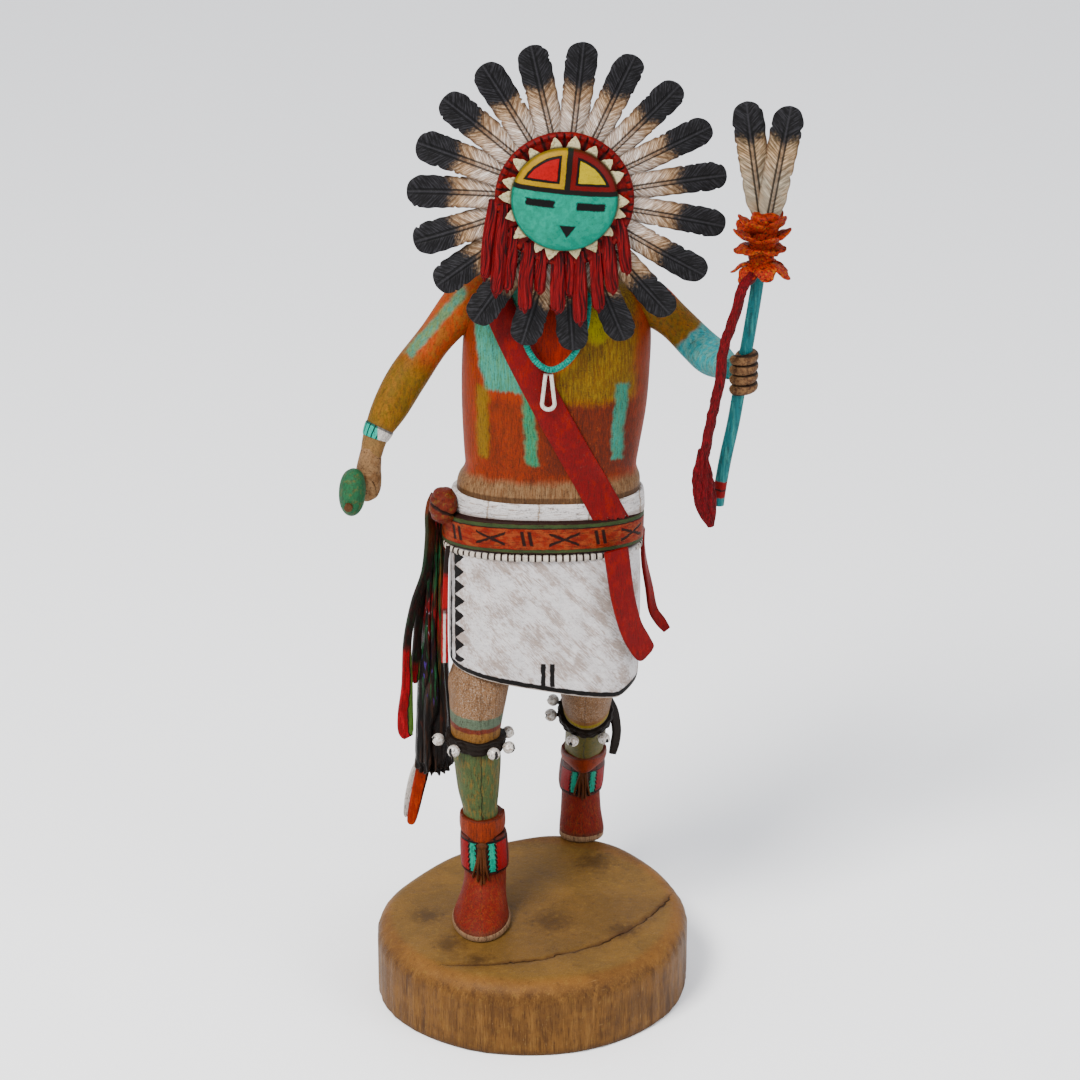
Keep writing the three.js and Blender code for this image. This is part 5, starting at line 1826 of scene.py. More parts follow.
# ------------------------------------------------------------------- the head


@dataclass
class Head:
    """The head block, the domed sun mask, its husk points and its ring of hair."""

    at: Vector = field(default_factory=lambda: shift("head_block", 12.2, 5.8, 324.6))
    x: float = 12.2
    z: float = 324.6
    skull_radius: float = 22
    skull_front: float = -13.3
    skull_back: float = 25
    face_radius: float = 18.9
    face_dome: float = 5.2
    face_back: float = -19.9
    face_rim: float = 1.3
    husks: int = 18
    husk_inner: float = 18
    husk_outer: float = 22.9
    husk_half: float = 2.75
    hair_radius: float = 24.7
    hair_back: float = -17.1
    hair_front: float = -19.6
    face_lift: float = 1
    roll: float = 5.5
    notches: int = 27
    locks: Sequence[Row] = (
        (-16.2, 294.6, 2.3), (-12.2, 288.6, 2.6), (-8.2, 290.4, 2.4), (-1.9, 282.8, 2.9),
        (3.4, 289.6, 2.2), (9.6, 282.4, 2.9), (14.2, 288.4, 2), (18, 277.8, 2.7),
        (24.6, 282.8, 2.6), (29.6, 289.8, 2.6), (34.6, 297, 2.3),
    )

    def spot(self, y: float) -> Vector:
        """A point of the head's middle line."""
        return self.at + Vector((self.x, y, self.z))

    def skull(self) -> None:
        """Makes the head behind the mask."""
        long = self.skull_back - self.skull_front
        rows: list[Row] = [(0, 0), (self.skull_radius - 0.6, 0), (self.skull_radius - 0.1, 0.3)]
        for i in range(1, 25):
            s = math.sin(i / 24 * math.pi / 2)
            rows.append((self.skull_radius * math.sqrt(max(0, 1 - s**3)), long * s))
        skull = Bench.spin("skull", rows, 96, self.spot(self.skull_front), Vector((0, 1, 0)))
        coat = Aged(grain=(0.7, 6, 0.7), wear=0.4)
        present(skull, Slot.TURQUOISE, painted("skull_paint", "0f8a78", coat), "head_block")

    def mask(self) -> None:
        """Makes the domed face and the husk points round it."""
        rows: list[Row] = [(0, 0), (self.face_radius - 0.8, 0)]
        rows.append((self.face_radius - 0.8, self.face_rim + 0.4))
        for i in range(40):
            a = i / 40 * math.pi / 2
            rows.append((
                self.face_radius * math.cos(a) ** 0.9,
                self.face_rim + 0.5 + (self.face_dome - 0.5) * math.sin(a),
            ))
        rows.append((0, self.face_rim + self.face_dome))
        middle = self.spot(self.face_back) + Vector((0, 0, self.face_lift))
        face = Bench.spin("sun_mask", rows, 160, middle, Vector((0, -1, 0)))
        present(face, Slot.TURQUOISE, self.face_paint(middle), "sun_face")
        husk = self.husk_points(middle)
        Bench.push(husk, lambda spot, _: -0.12 + 0.1 * math.sin(spot.x * 3.1 + spot.z * 2.3))
        present(husk, Slot.TURQUOISE, self.husk_paint(middle), "sun_face")

    def face_paint(self, middle: Vector) -> bpy.types.Material:
        """The sun's face: turquoise below, quartered red and yellow above a black band, with
        painted shade round its rim.
        """
        g = Graph("face_paint")
        at = g.coords()
        dx = at[0] - middle.x + g.wander(at, 2, 0.16)
        dz = at[2] - middle.z + g.wander(at, 2.3, 0.16)
        c, s = math.cos(math.radians(self.roll)), math.sin(math.radians(self.roll))
        x, z = dx * c - dz * s, dx * s + dz * c
        smear = g.wander(at, 0.6, 0.5)
        reach = g.math("SQRT", x * x + z * z)
        beam = abs(x - 0.4)
        inner = g.least(self.face_radius - 0.5 - reach, z - 5, beam - 1.15)
        left = g.step(x, 0.5, 0.3)
        eye = abs(abs(x - 0.4) - 9) - 5.1 + smear
        eyes = g.patch((eye, -20, 0), (z + smear * 0.4, -2.2, 0.6), soft=0.3)
        mouth = g.patch((abs(x - 1.9) - (z + 13) * 0.62, -20, 0), (z, -13, -8.3), soft=0.2)
        band = g.band(z, 3.2, 5, 0.18)
        bar = g.step(beam, 1.1, 0.85) * g.step(z, 3.4, 3.6)
        outline = g.band(inner, 1.7, 2.6, 0.15)
        mottle = g.noise(at, (2.5, 2.5, 2.5), 4, 0.6)
        # The rim of the dome is darkened: painted shade where it meets the husk points.
        rim = g.step(reach, self.face_radius - 1, self.face_radius - 0.2)
        border = g.mix(left, hexed("6c0f0c"), hexed("b28a1c"))
        fill = g.mix(left, hexed("c2aa02"), hexed("b00c10"))
        upper = g.layers(border, (g.step(inner, 2.1, 2.3), fill), (outline, hexed("0e0a08")))
        upper = g.mix(g.band(beam, 0.95, 1.5, 0.12) * left * 0.8, upper, hexed("a58a1c"))
        ink = g.most(band, bar, eyes, mouth)
        colour = g.layers(
            g.mix(g.step(mottle, 0.4, 0.62), hexed("008e72"), hexed("069c80")),
            (g.step(z, 4.4, 4.6), upper), (g.most(band, bar), hexed("15120e")),
            (g.most(eyes, mouth), hexed("070707")),
            (rim * 0.55, hexed("14301f")),
        )
        coat = Aged(grain=(1.2, 1.2, 1.2), streak=0.22, mottle=0.25, wear=0.0, washed=0.12,
                    shade=0.6, roughness=0.42, depth=0.1, vivid=1.2)
        return coat.finish(g, at, colour, 1 - g.most(ink, outline) * 2.4)

    def husk_points(self, middle: Vector) -> bpy.types.Object:
        """Makes one husk point and copies it round the mask, no two quite alike."""
        draw = random.Random(11)
        rings = []
        long = self.husk_outer - self.husk_inner + 1
        for i in range(15):
            t = i / 14
            half = self.husk_half * (1 - t**1.7) ** 0.85 + 0.1
            deep = self.face_rim / 2 * (1.15 - 0.55 * t)
            ring = []
            for j in range(28):
                c, s = superellipse(j / 28 * TURN, 3)
                high = self.husk_inner - 1 + t * long
                ring.append(Vector((c * half, s * deep - self.face_rim / 2 - 0.2, high)))
            rings.append(ring)
        first = Bench.loft("husk", rings)
        pieces = []
        for i in range(self.husks):
            turn = (i + 0.5 + draw.uniform(-0.13, 0.13)) / self.husks * TURN
            size = Matrix.Diagonal((draw.uniform(0.9, 1.12), 1, draw.uniform(0.965, 1.02), 1))
            skew = Matrix.Identity(4)
            skew[0][2] = draw.uniform(-0.035, 0.035)
            move = Matrix.Translation(middle * MM) @ Matrix.Rotation(turn, 4, "Y") @ skew @ size
            pieces.append(Bench.copied(first, f"husk_{i + 1:02d}", move))
        bpy.data.objects.remove(first)
        return Bench.joined("husk_points", pieces)

    def husk_paint(self, middle: Vector) -> bpy.types.Material:
        """Cream, with painted shade where the points meet the mask."""
        g = Graph("husk_paint")
        at = g.coords()
        dx, dz = at[0] - middle.x, at[2] - middle.z
        reach = g.math("SQRT", dx * dx + dz * dz)
        # Darker at the foot of each point, under the mask's rim: painted shade.
        painted_foot_shade = g.step(reach, self.husk_inner + 1.8, self.husk_inner + 0.9)
        colour = g.layers(
            hexed("b5ab84"), (g.step(g.noise(at, (0.9,) * 3, 3), 0.5, 0.7), hexed("8f8256")),
            (painted_foot_shade * 0.85, hexed("2a2410")),
        )
        return Aged(grain=(0.7,) * 3, wear=0.1, washed=0.4, shade=0.9).finish(g, at, colour)

    def hair(self) -> None:
        """Makes the carved ring of hair and the locks that hang below the mask."""
        deep = self.hair_back - self.hair_front
        r = self.hair_radius
        rows = [(0, 0), (r - 1, 0), (r - 0.3, 0.4), (r, 1), (r - 0.1, deep - 0.9), (r - 0.5, deep),
                (r - 1.1, deep + 0.35), (r - 1.8, deep + 0.2), (r - 2.4, deep - 0.3)]
        rows += [(r - 2.4 - k * 0.45, deep - 0.35) for k in range(1, 12)] + [(0, deep - 0.4)]
        middle = self.spot(self.hair_back)
        ring = Bench.spin("hair_ring", rows, 288, middle, Vector((0, -1, 0)))

        def segments(spot: Vector, normal: Vector) -> float:
            """Notches across the rim and between the dark red points."""
            if normal.y > -0.3:
                return 0
            dx, dz = spot.x - middle.x, spot.z - middle.z
            turn = math.atan2(dx, dz)
            rim = math.hypot(dx, dz) > r - 2.2
            pulse = abs(math.sin(turn * (self.notches if rim else self.husks / 2)))
            return -(0.7 if rim else 0.35) * (1 - pulse) ** (4 if rim else 3)

        Bench.push(ring, segments)
        paint = self.hair_paint()
        present(ring, Slot.RED, paint, "hair_fringe")
        draw = random.Random(3)
        for i, (x, z, half) in enumerate(self.locks):
            share = (x - self.x) / 24
            top_x = self.x + share * 21
            top_z = self.z - math.sqrt(max(4, 21.6**2 - (top_x - self.x) ** 2)) + 2
            y = -19.4 - 0.5 * (i % 2)
            mid_x, mid_z = (top_x + x) / 2 + draw.uniform(-0.4, 0.4), (top_z + z) / 2
            low = (x * 0.75 + mid_x * 0.25, z * 0.75 + mid_z * 0.25)
            rows = (
                (top_x, -18.6, top_z, half * 0.75, 1.1), (mid_x, y, mid_z, half * 0.86, 1.6),
                (low[0], y - 0.2, low[1], half * 0.78, 1.5), (x, y, z + 2.6, half * 0.52, 1.1),
                (x, y, z + 0.7, half * 0.28, 0.7), (x, y, z - 0.4, half * 0.08, 0.2),
            )
            phase = draw.uniform(0, 6)

            def strands(angle: float, t: float, phase: float = phase) -> float:
                """Grooves between the strands of a lock."""
                wave = math.sin(angle * 6 + phase + 2.4 * math.sin(t * 4 + phase))
                return 1 + 0.15 * wave + 0.06 * math.sin(angle * 13 + t * 9)

            rings = limb_rings(rows, self.at, 72, 54, strands)
            lock = Bench.loft(f"lock_{i + 1:02d}", rings)
            present(lock, Slot.RED, self.lock_paint(), "hair_fringe", sharp=80)

    def hair_paint(self) -> bpy.types.Material:
        """Dark red, nearly black in the notches."""
        g = Graph("hair_paint")
        at = g.coords()
        colour = g.layers(
            hexed("740c0e"), (g.step(g.noise(at, (1.5,) * 3, 3), 0.5, 0.64), hexed("8f1714")),
            (g.step(g.carved(), -0.02, -0.24) * 0.9, hexed("180404")),
        )
        return Aged(grain=(0.7,) * 3, wear=0.12, washed=0.5).finish(g, at, colour)

    def lock_paint(self) -> bpy.types.Material:
        """Red strands with painted highlights and dark lines between them; made once."""
        found = bpy.data.materials.get("lock_paint")
        if found:
            return found
        g = Graph("lock_paint")
        at = g.coords()
        u, v = g.uv()
        drift = g.math("SINE", v * 0.35) * 0.4
        lines = g.noise((u + drift, v, u), (0.42, 12, 50), 3, 0.6)
        colour = g.layers(
            # Lighter red streaks along the strands: painted highlights.
            hexed("7e0c12"), (g.step(lines, 0.54, 0.68) * 0.8, hexed("a6242a")),
            (g.step(lines, 0.5, 0.4) * 0.92, hexed("1d0306")),
            (g.step(g.noise(at, (5,) * 3, 2), 0.55, 0.7) * 0.4, hexed("4c080a")),
        )
        return Aged(streak=0.2, mottle=0.3, wear=0.06, washed=0.2).finish(g, at, colour, lines * 3)

    def build(self) -> None:
        """Makes the whole head."""
        self.skull()
        self.mask()
        self.hair()


# ------------------------------------------------------------------ the staff


@dataclass
class Staff:
    """The rod with its blossom, its two feathers and its hanging yarn."""

    at: Vector = field(default_factory=lambda: shift("staff_rod", 75.9, -20, 263))
    depth: float = -20
    radius: float = 2.3
    line: Sequence[Row] = (
        (68.6, 209), (69.4, 216), (71.2, 228), (73.8, 242), (76.4, 260.6), (78.8, 277), (81, 294),
        (82.4, 309), (83.2, 317),
    )
    tiers: Sequence[Row] = (
        (300.8, 11.6, 7, -3), (305.4, 9.6, 6, 0.6), (309.6, 11.4, 6, 5.4), (313.6, 9, 5, 7),
    )
    core: Sequence[Row] = (
        (298, 81.6, 1.4), (298.8, 81.6, 3), (302, 81.9, 4), (306, 82.2, 4.4), (312, 82.6, 4.8),
        (318, 83, 5.1), (320, 83.2, 4.4), (320.6, 83.2, 2),
    )
    plumes: Sequence[Row] = ((1.1, -8.6, 42.5), (-1.1, 9.4, 41.5))
    yarn: Sequence[Row] = (
        (79.4, -25.4, 299), (75, -28.4, 294), (72.1, -29.4, 283.6), (69.1, -29.8, 272.4),
        (67.6, -30.2, 261), (66, -30, 249.6), (63.7, -29.6, 238), (62.3, -29, 230),
    )
    tassel: Sequence[Row] = (
        (62.4, -29, 234, 1.6, 1.5), (62.3, -29, 230, 2.2, 2), (62.4, -28.8, 224, 3.4, 2.8),
        (63.2, -28.5, 216, 3.8, 3.1), (64.6, -28.6, 209, 2.9, 2.4), (65.8, -28.8, 203.8, 1.1, 1),
    )

    def petal(self, reach: float, rise: float) -> bpy.types.Object:
        """Makes one broad, bent petal that points along +X."""
        rows = (
            (2.4, 0, rise * 0.05, 0.9, 2), (reach * 0.4, 0, rise * 0.05 + 1, 0.95, 3.2),
            (reach * 0.66, 0, rise * 0.35 + 1, 0.85, 3.7),
            (reach * 0.86, 0, rise * 0.75, 0.65, 2.9), (reach, 0, rise, 0.3, 0.9),
        )

        def fold(angle: float, t: float) -> float:
            """A crease along the petal, and a wavy edge."""
            edge = abs(math.sin(angle))
            return 1 + 0.12 * math.sin(t * 15) * edge - 0.25 * math.exp(-((edge / 0.25) ** 2))

        return Bench.loft("petal", limb_rings(rows, Vector(), 48, 36, fold))

    def build(self) -> None:
        """Makes the whole staff."""
        r = self.radius
        rows = [(x, self.depth, z, r, r) for x, z in self.line]
        rod = Bench.loft("rod", limb_rings(rows, self.at, 48, 120))
        present(rod, Slot.BLUE, self.rod_paint(), "staff_rod")
        self.blossom()
        top = self.line[-1]
        paint = feather_paint("plume_paint", 28, 25, "6e6454", "54442a", "ab9d86")
        for name, (deep, lean, length) in zip("ab", self.plumes):
            spot = Vector((top[0] + lean * 0.13, self.depth + deep, top[1] + 1.4))
            place = Matrix.Translation(self.at + spot) @ Matrix.Rotation(math.radians(lean), 4, "Y")
            plume = Feather(length, quill=3, shoulder=4.9, widest=5.7, seed=40 + int(lean))
            piece = plume.build(f"plume_{name}", place)
            present(piece, Slot.FEATHER, paint, f"staff_feather_{name}")
        paint = self.yarn_paint()
        rows = [(*row, 1.8, 1.8) for row in self.yarn]

        def twist(angle: float, t: float) -> float:
            """The lay of a rope of dyed yarn."""
            lay = 0.09 * math.sin(angle * 3 + t * 52 + 2 * math.sin(t * 17))
            fine = 0.07 * math.sin(angle * 8 - t * 47 + 3 * math.sin(t * 23))
            return 1 + lay + fine + 0.12 * math.sin(t * 19 + angle)

        def tufts(angle: float, t: float) -> float:
            """The loose strands of the tassel."""
            return 1 + 0.1 * math.sin(angle * 9 + 3 * math.sin(t * 7)) + 0.06 * math.sin(
                angle * 17 + t * 24
            )

        yarn = Bench.loft("yarn", limb_rings(rows, self.at, 40, 300, twist))
        present(yarn, Slot.RED, paint, "staff_yarn", sharp=80)
        tassel = Bench.loft("tassel", limb_rings(self.tassel, self.at, 96, 72, tufts))
        present(tassel, Slot.RED, paint, "staff_yarn", sharp=80)

    def rod_paint(self) -> bpy.types.Material:
        """Blue with a red wrapping near its foot."""
        g = Graph("rod_paint")
        at = g.coords()
        _, v = g.uv()
        v = v + g.wander(at, 2, 0.3)
        colour = g.layers(
            hexed("1c7478"), (g.step(g.noise(at, (1, 1, 9), 3), 0.5, 0.64) * 0.7, hexed("4a9c94")),
            (g.band(v, 3.2, 9.6, 0.3), hexed("8c1214")), (g.band(v, 6, 6.6, 0.2), hexed("1c0806")),
        )
        return Aged(grain=(0.5, 0.5, 9), wear=0.12, washed=0.4).finish(g, at, colour)

    def yarn_paint(self) -> bpy.types.Material:
        """Dark red strands, frayed."""
        g = Graph("yarn_paint")
        at = g.coords()
        lines = g.noise(at, (0.5, 0.5, 2.6), 4, 0.7)
        colour = g.layers(
            hexed("6c0b12"), (g.step(lines, 0.52, 0.68), hexed("a01824")),
            (g.step(lines, 0.46, 0.34) * 0.9, hexed("160204")),
        )
        return Aged(streak=0.3, wear=0.04, washed=0.3, depth=0.3).finish(g, at, colour, lines * 2)

    def blossom(self) -> None:
        """Makes the core of the blossom and its tiers of petals."""
        rows = [(z, x, self.depth, r, r) for z, x, r in self.core]
        rings = level_rings(rows, self.at, 60, 50, 3)
        core = Bench.loft("blossom_core", rings)
        Bench.push(core, lambda spot, _: 0.5 * math.sin(spot.z * 1.1) * math.sin(spot.x * 0.9))
        paint = self.blossom_paint()
        present(core, Slot.ORANGE, paint, "staff_blossom")
        draw = random.Random(8)
        x = self.line[-2][0] - 0.4
        for tier, (height, reach, count, rise) in enumerate(self.tiers):
            first = self.petal(reach, rise)
            for i in range(int(count)):
                turn = (i + (0.4 if count % 2 else 0) + draw.uniform(-0.12, 0.12)) / count * TURN
                spot = (self.at + Vector((x, self.depth, height + draw.uniform(-0.6, 0.6)))) * MM
                size = Matrix.Scale(draw.uniform(0.86, 1.05), 4)
                tip = Matrix.Rotation(math.radians(draw.uniform(-9, 9)), 4, "Y")
                lean = Matrix.Rotation(math.radians(draw.uniform(-14, 14)), 4, "X")
                move = Matrix.Translation(spot) @ Matrix.Rotation(turn, 4, "Z") @ tip @ lean @ size
                petal = Bench.copied(first, f"petal_{tier + 1}_{i + 1}", move)
                present(petal, Slot.ORANGE, paint, "staff_blossom")
            bpy.data.objects.remove(first)

    def blossom_paint(self) -> bpy.types.Material:
        """Orange and red with dark creases and painted yellow highlights."""
        g = Graph("blossom_paint")
        at = g.coords()
        blotch = g.noise(at, (2.2,) * 3, 4, 0.65)
        cracks = g.noise(at, (0.9,) * 3, 3, 0.6)
        colour = g.layers(
            hexed("bc2c06"), (g.step(blotch, 0.52, 0.66), hexed("c4560a")),
            (g.step(blotch, 0.44, 0.36), hexed("96180a")),
            # Yellow marks on the petals: painted highlights.
            (g.step(cracks, 0.58, 0.66) * 0.7, hexed("b08a14")),
            (g.step(cracks, 0.45, 0.37) * 0.9, hexed("1e0f08")),
        )
        coat = Aged(grain=(0.8,) * 3, wear=0.0, washed=0.6, depth=0.3, shade=0.5)
        return coat.finish(g, at, colour)


# ------------------------------------------------------ the strap and necklace


@dataclass
class Strap:
    """The red strap over the right shoulder, with its two hanging ends."""

    trunk: Trunk
    width: float = 11.8
    thick: float = 1.7
    hip: Row = (27, 201.5)
    shoulder: Row = (-12.4, 281)
    first: float = 171
    last: float = -156
    stand: float = 0.2
    front_tail: Sequence[Row] = (
        (31.8, -7.4, 185.4, 5, 26), (32.8, -8.2, 178, 5, 28), (34.6, -8.2, 166, 4.9, 30),
        (37.6, -7.2, 154, 4.8, 33), (41, -5.6, 146.4, 4.9, 34), (43.4, -4.6, 142.2, 4.4, 34),
        (44, -4.3, 141.2, 2.6, 34),
    )
    back_tail: Sequence[Row] = (
        (42.4, 26, 181, 3, 100), (43.2, 26, 168, 2.4, 80), (45.4, 25.6, 156, 2.1, 60),
        (47, 25, 147, 2, 40), (50, 24.6, 142, 2.1, 20), (52.4, 24.6, 138.6, 1.6, 10),
    )

    def band(self) -> bpy.types.Object:
        """Makes the strap that lies on the trunk."""
        at = self.trunk.at
        hip = at + Vector((self.hip[0], 0, self.hip[1]))
        shoulder = at + Vector((self.shoulder[0], 0, self.shoulder[1]))
        up = (shoulder - hip).normalized()
        across = Vector((0, 1, 0)).cross(up)
        middle = (hip + shoulder) / 2
        middle.y = at.y + 12.5
        rings = []
        steps, lanes = 170, 9
        for i in range(steps + 1):
            angle = math.radians(mixed(self.first, self.last, i / steps))
            way = up * math.cos(angle) + Vector((0, -1, 0)) * math.sin(angle)
            hits = []
            for k in range(lanes):
                start = middle + across * (self.width * (k / (lanes - 1) - 0.5))
                reach = self.trunk.reach(start, way, self.stand)
                low = (start + way * reach).z - at.z
                hits.append(start + way * (reach - 3 * eased(195.4, 192.8, low)))
            low, high = [], []
            for k, hit in enumerate(hits):
                edge = (0.55, 0.92)[k % (lanes - 1) > 0] if k in (0, 1, lanes - 2, lanes - 1) else 1
                wave = 0.1 * math.sin(i * 0.21 + k * 0.7)
                low.append(hit - way * 0.4)
                high.append(hit + way * (self.thick * edge + wave))
            rings.append(low + high[::-1])
        return Bench.loft("strap", rings)

    def build(self) -> None:
        """Makes the strap and its ends."""
        paint = self.strap_paint()
        present(self.band(), Slot.RED, paint, "bandolier")
        for name, node, middle, rows in (
            ("strap_end_front", "bandolier_tail_front", (38.3, -6.2, 160.6), self.front_tail),
            ("strap_end_back", "bandolier_tail_back", (47.4, 26, 159.3), self.back_tail),
        ):
            end = ribbon(name, rows, shift(node, *middle), 1.7)
            present(end, Slot.RED, paint, node)

    def strap_paint(self) -> bpy.types.Material:
        """Deep red, nicked here and there to the wood."""
        g = Graph("strap_paint")
        at = g.coords()
        nicks = g.step(g.noise(at, (0.7, 0.7, 0.7), 2, 0.6), 0.73, 0.77)
        blotch = g.noise(at, (3, 3, 6), 4, 0.6)
        colour = g.layers(
            hexed("7c090c"), (g.step(blotch, 0.46, 0.64) * 0.8, hexed("94140f")),
            (nicks * 0.5, hexed("b08a70")),
        )
        coat = Aged(grain=(0.6, 0.6, 3.4), streak=0.34, mottle=0.3, wear=0.08, washed=0.3,
                    roughness=0.48)
        return coat.finish(g, at, colour)


def ribbon(name: str, stations: Sequence[Row], at: Vector, thick: float) -> bpy.types.Object:
    """A flat hanging end.

    Args:
        name: The piece's name.
        stations: Rows of x, y, z, half width and the turn of the width from +X.
        at: The point the rows are measured from.
        thick: Its thickness.

    Returns:
        The new object.
    """
    rings, across = [], []
    steps = 14 * (len(stations) - 1)
    for i in range(steps + 1):
        t = i / steps
        x, y, z, half, turn = between(stations, t)
        way = Vector(between(stations, t + 0.02)[:3]) - Vector(between(stations, t - 0.02)[:3])
        way.normalize()
        flat = Vector((math.cos(math.radians(turn)), math.sin(math.radians(turn)), 0))
        side = (flat - way * flat.dot(way)).normalized()
        out = way.cross(side)
        ring, places = [], []
        for j in range(28):
            c, s = superellipse(j / 28 * TURN, 5)
            ring.append(at + Vector((x, y, z)) + side * (c * half) + out * (s * thick / 2))
            places.append((side * (c * half)).x + (side * (c * half)).y * 0.3)
        rings.append(ring)
        across.append(places)
    return Bench.loft(name, rings, across=across)


@dataclass
class Necklace:
    """The turquoise beads and the shell drop."""

    trunk: Trunk
    at: Vector = field(default_factory=lambda: shift("necklace", 11.4, 5.6, 279.1))
    drop: Sequence[Row] = (
        (21.4, 284), (20.4, 276), (17.6, 267.6), (13.2, 261.4), (7.4, 258.6), (2, 261.8),
        (-1.6, 268.6), (-2, 276), (0.8, 284),
    )
    back: Sequence[Row] = (
        (-1.6, 4.6, 295), (1.2, 18, 298.6), (11.4, 24, 299.6), (21.8, 18, 298.6), (24.8, 4.6, 295),
    )
    stand: float = 3.8
    bead: float = 1.2
    pendant_x: float = 6.6
    pendant_top: float = 257.4
    pendant_drop: float = 15
    pendant_half: Row = (1.75, 3)
    pendant_bore: float = 1.45
    pendant_thick: float = 1.5

    def line(self) -> list[Vector]:
        """Evenly spaced points of the string."""
        front = [(x, self.trunk.front(x, z) - self.stand, z) for x, z in self.drop]
        closed = [Vector(point) for point in (*front, *self.back, front[0])]
        fine = []
        for k in range(len(closed) - 1):
            a, b = closed[k], closed[k + 1]
            before = closed[k - 1] if k else closed[-2]
            after = closed[k + 2] if k + 2 < len(closed) else closed[1]
            fine += [Vector(between((before, a, b, after), (1 + s / 60) / 3)) for s in range(60)]
        return fine

    def build(self) -> None:
        """Makes the string of beads and the drop."""
        line = self.line()
        bead = self.bead
        rings = []
        n = len(line)
        lengths = [0.0]
        for k in range(n):
            lengths.append(lengths[-1] + (line[(k + 1) % n] - line[k]).length)
        total = lengths[-1]
        count = round(total / (bead * 0.85))
        steps = count * 6
        k = 0
        for i in range(steps):
            want = total * i / steps
            while lengths[k + 1] < want:
                k += 1
            share = (want - lengths[k]) / (lengths[k + 1] - lengths[k])
            here = line[k].lerp(line[(k + 1) % n], share)
            way = (line[(k + 2) % n] - line[k - 1]).normalized()
            side = way.cross(Vector((0, 0.3, 1))).normalized()
            other = way.cross(side)
            r = bead * (0.8 + 0.2 * math.sqrt(max(0, 1 - ((i % 6) / 3 - 1) ** 2)))
            ring = []
            for j in range(12):
                a = j / 12 * TURN
                ring.append(self.at + here + side * (math.cos(a) * r) + other * (math.sin(a) * r))
            rings.append(ring)
        beads = Bench.loft("beads", rings, closed=True)
        present(beads, Slot.TURQUOISE, self.beads_paint(), "necklace")
        self.shell()

    def beads_paint(self) -> bpy.types.Material:
        """Turquoise with darker stones and dark gaps."""
        g = Graph("beads_paint")
        at = g.coords()
        stones = g.noise(at, (1.3, 1.3, 1.3), 2)
        colour = g.layers(
            hexed("12a08c"), (g.step(stones, 0.5, 0.62), hexed("0a7f70")),
            (g.step(g.noise(at, (0.5,) * 3, 2), 0.42, 0.32) * 0.7, hexed("05302c")),
        )
        return Aged(grain=(0.6,) * 3, wear=0.05, washed=0.25, roughness=0.45).finish(g, at, colour)

    def shell(self) -> None:
        """Makes the long loop of shell."""
        top, low = self.pendant_half
        y = self.trunk.front(self.pendant_x, 250) - 3 - self.pendant_thick / 2
        middle = Vector((self.pendant_x, y, self.pendant_top))
        bend = self.pendant_bore / 2
        path = []
        for i in range(61):
            a = mixed(180, 360, i / 60)
            path.append((math.cos(math.radians(a)), math.sin(math.radians(a))))
        centre_low = -self.pendant_drop + low
        points = [(-(top - bend), -bend)]
        points += [((low - bend) * c, centre_low + (low - bend) * s) for c, s in path]
        points += [(top - bend, -bend)]
        loop = [Vector((x, 0, z)) for x, z in points]
        n = len(loop)
        rings = []
        for i in range(n):
            here = loop[i]
            way = (loop[(i + 1) % n] - loop[i - 1]).normalized()
            side = way.cross(Vector((0, 1, 0))).normalized()
            ring = []
            for j in range(20):
                c, s = superellipse(j / 20 * TURN, 3)
                ring.append(
                    self.at + middle + here + side * (c * bend)
                    + Vector((0, s * self.pendant_thick / 2, 0))
                )
            rings.append(ring)
        shell = Bench.loft("shell_drop", rings, closed=True)
        coat = Aged(grain=(0.5, 0.5, 3), streak=0.3, mottle=0.4, wear=0.2, wash="3a3028", shade=0.9,
                    vivid=1)
        present(shell, Slot.WHITE, painted("shell_paint", "cfc8bc", coat), "shell_pendant")


# ------------------------------------------------------------------- the sash


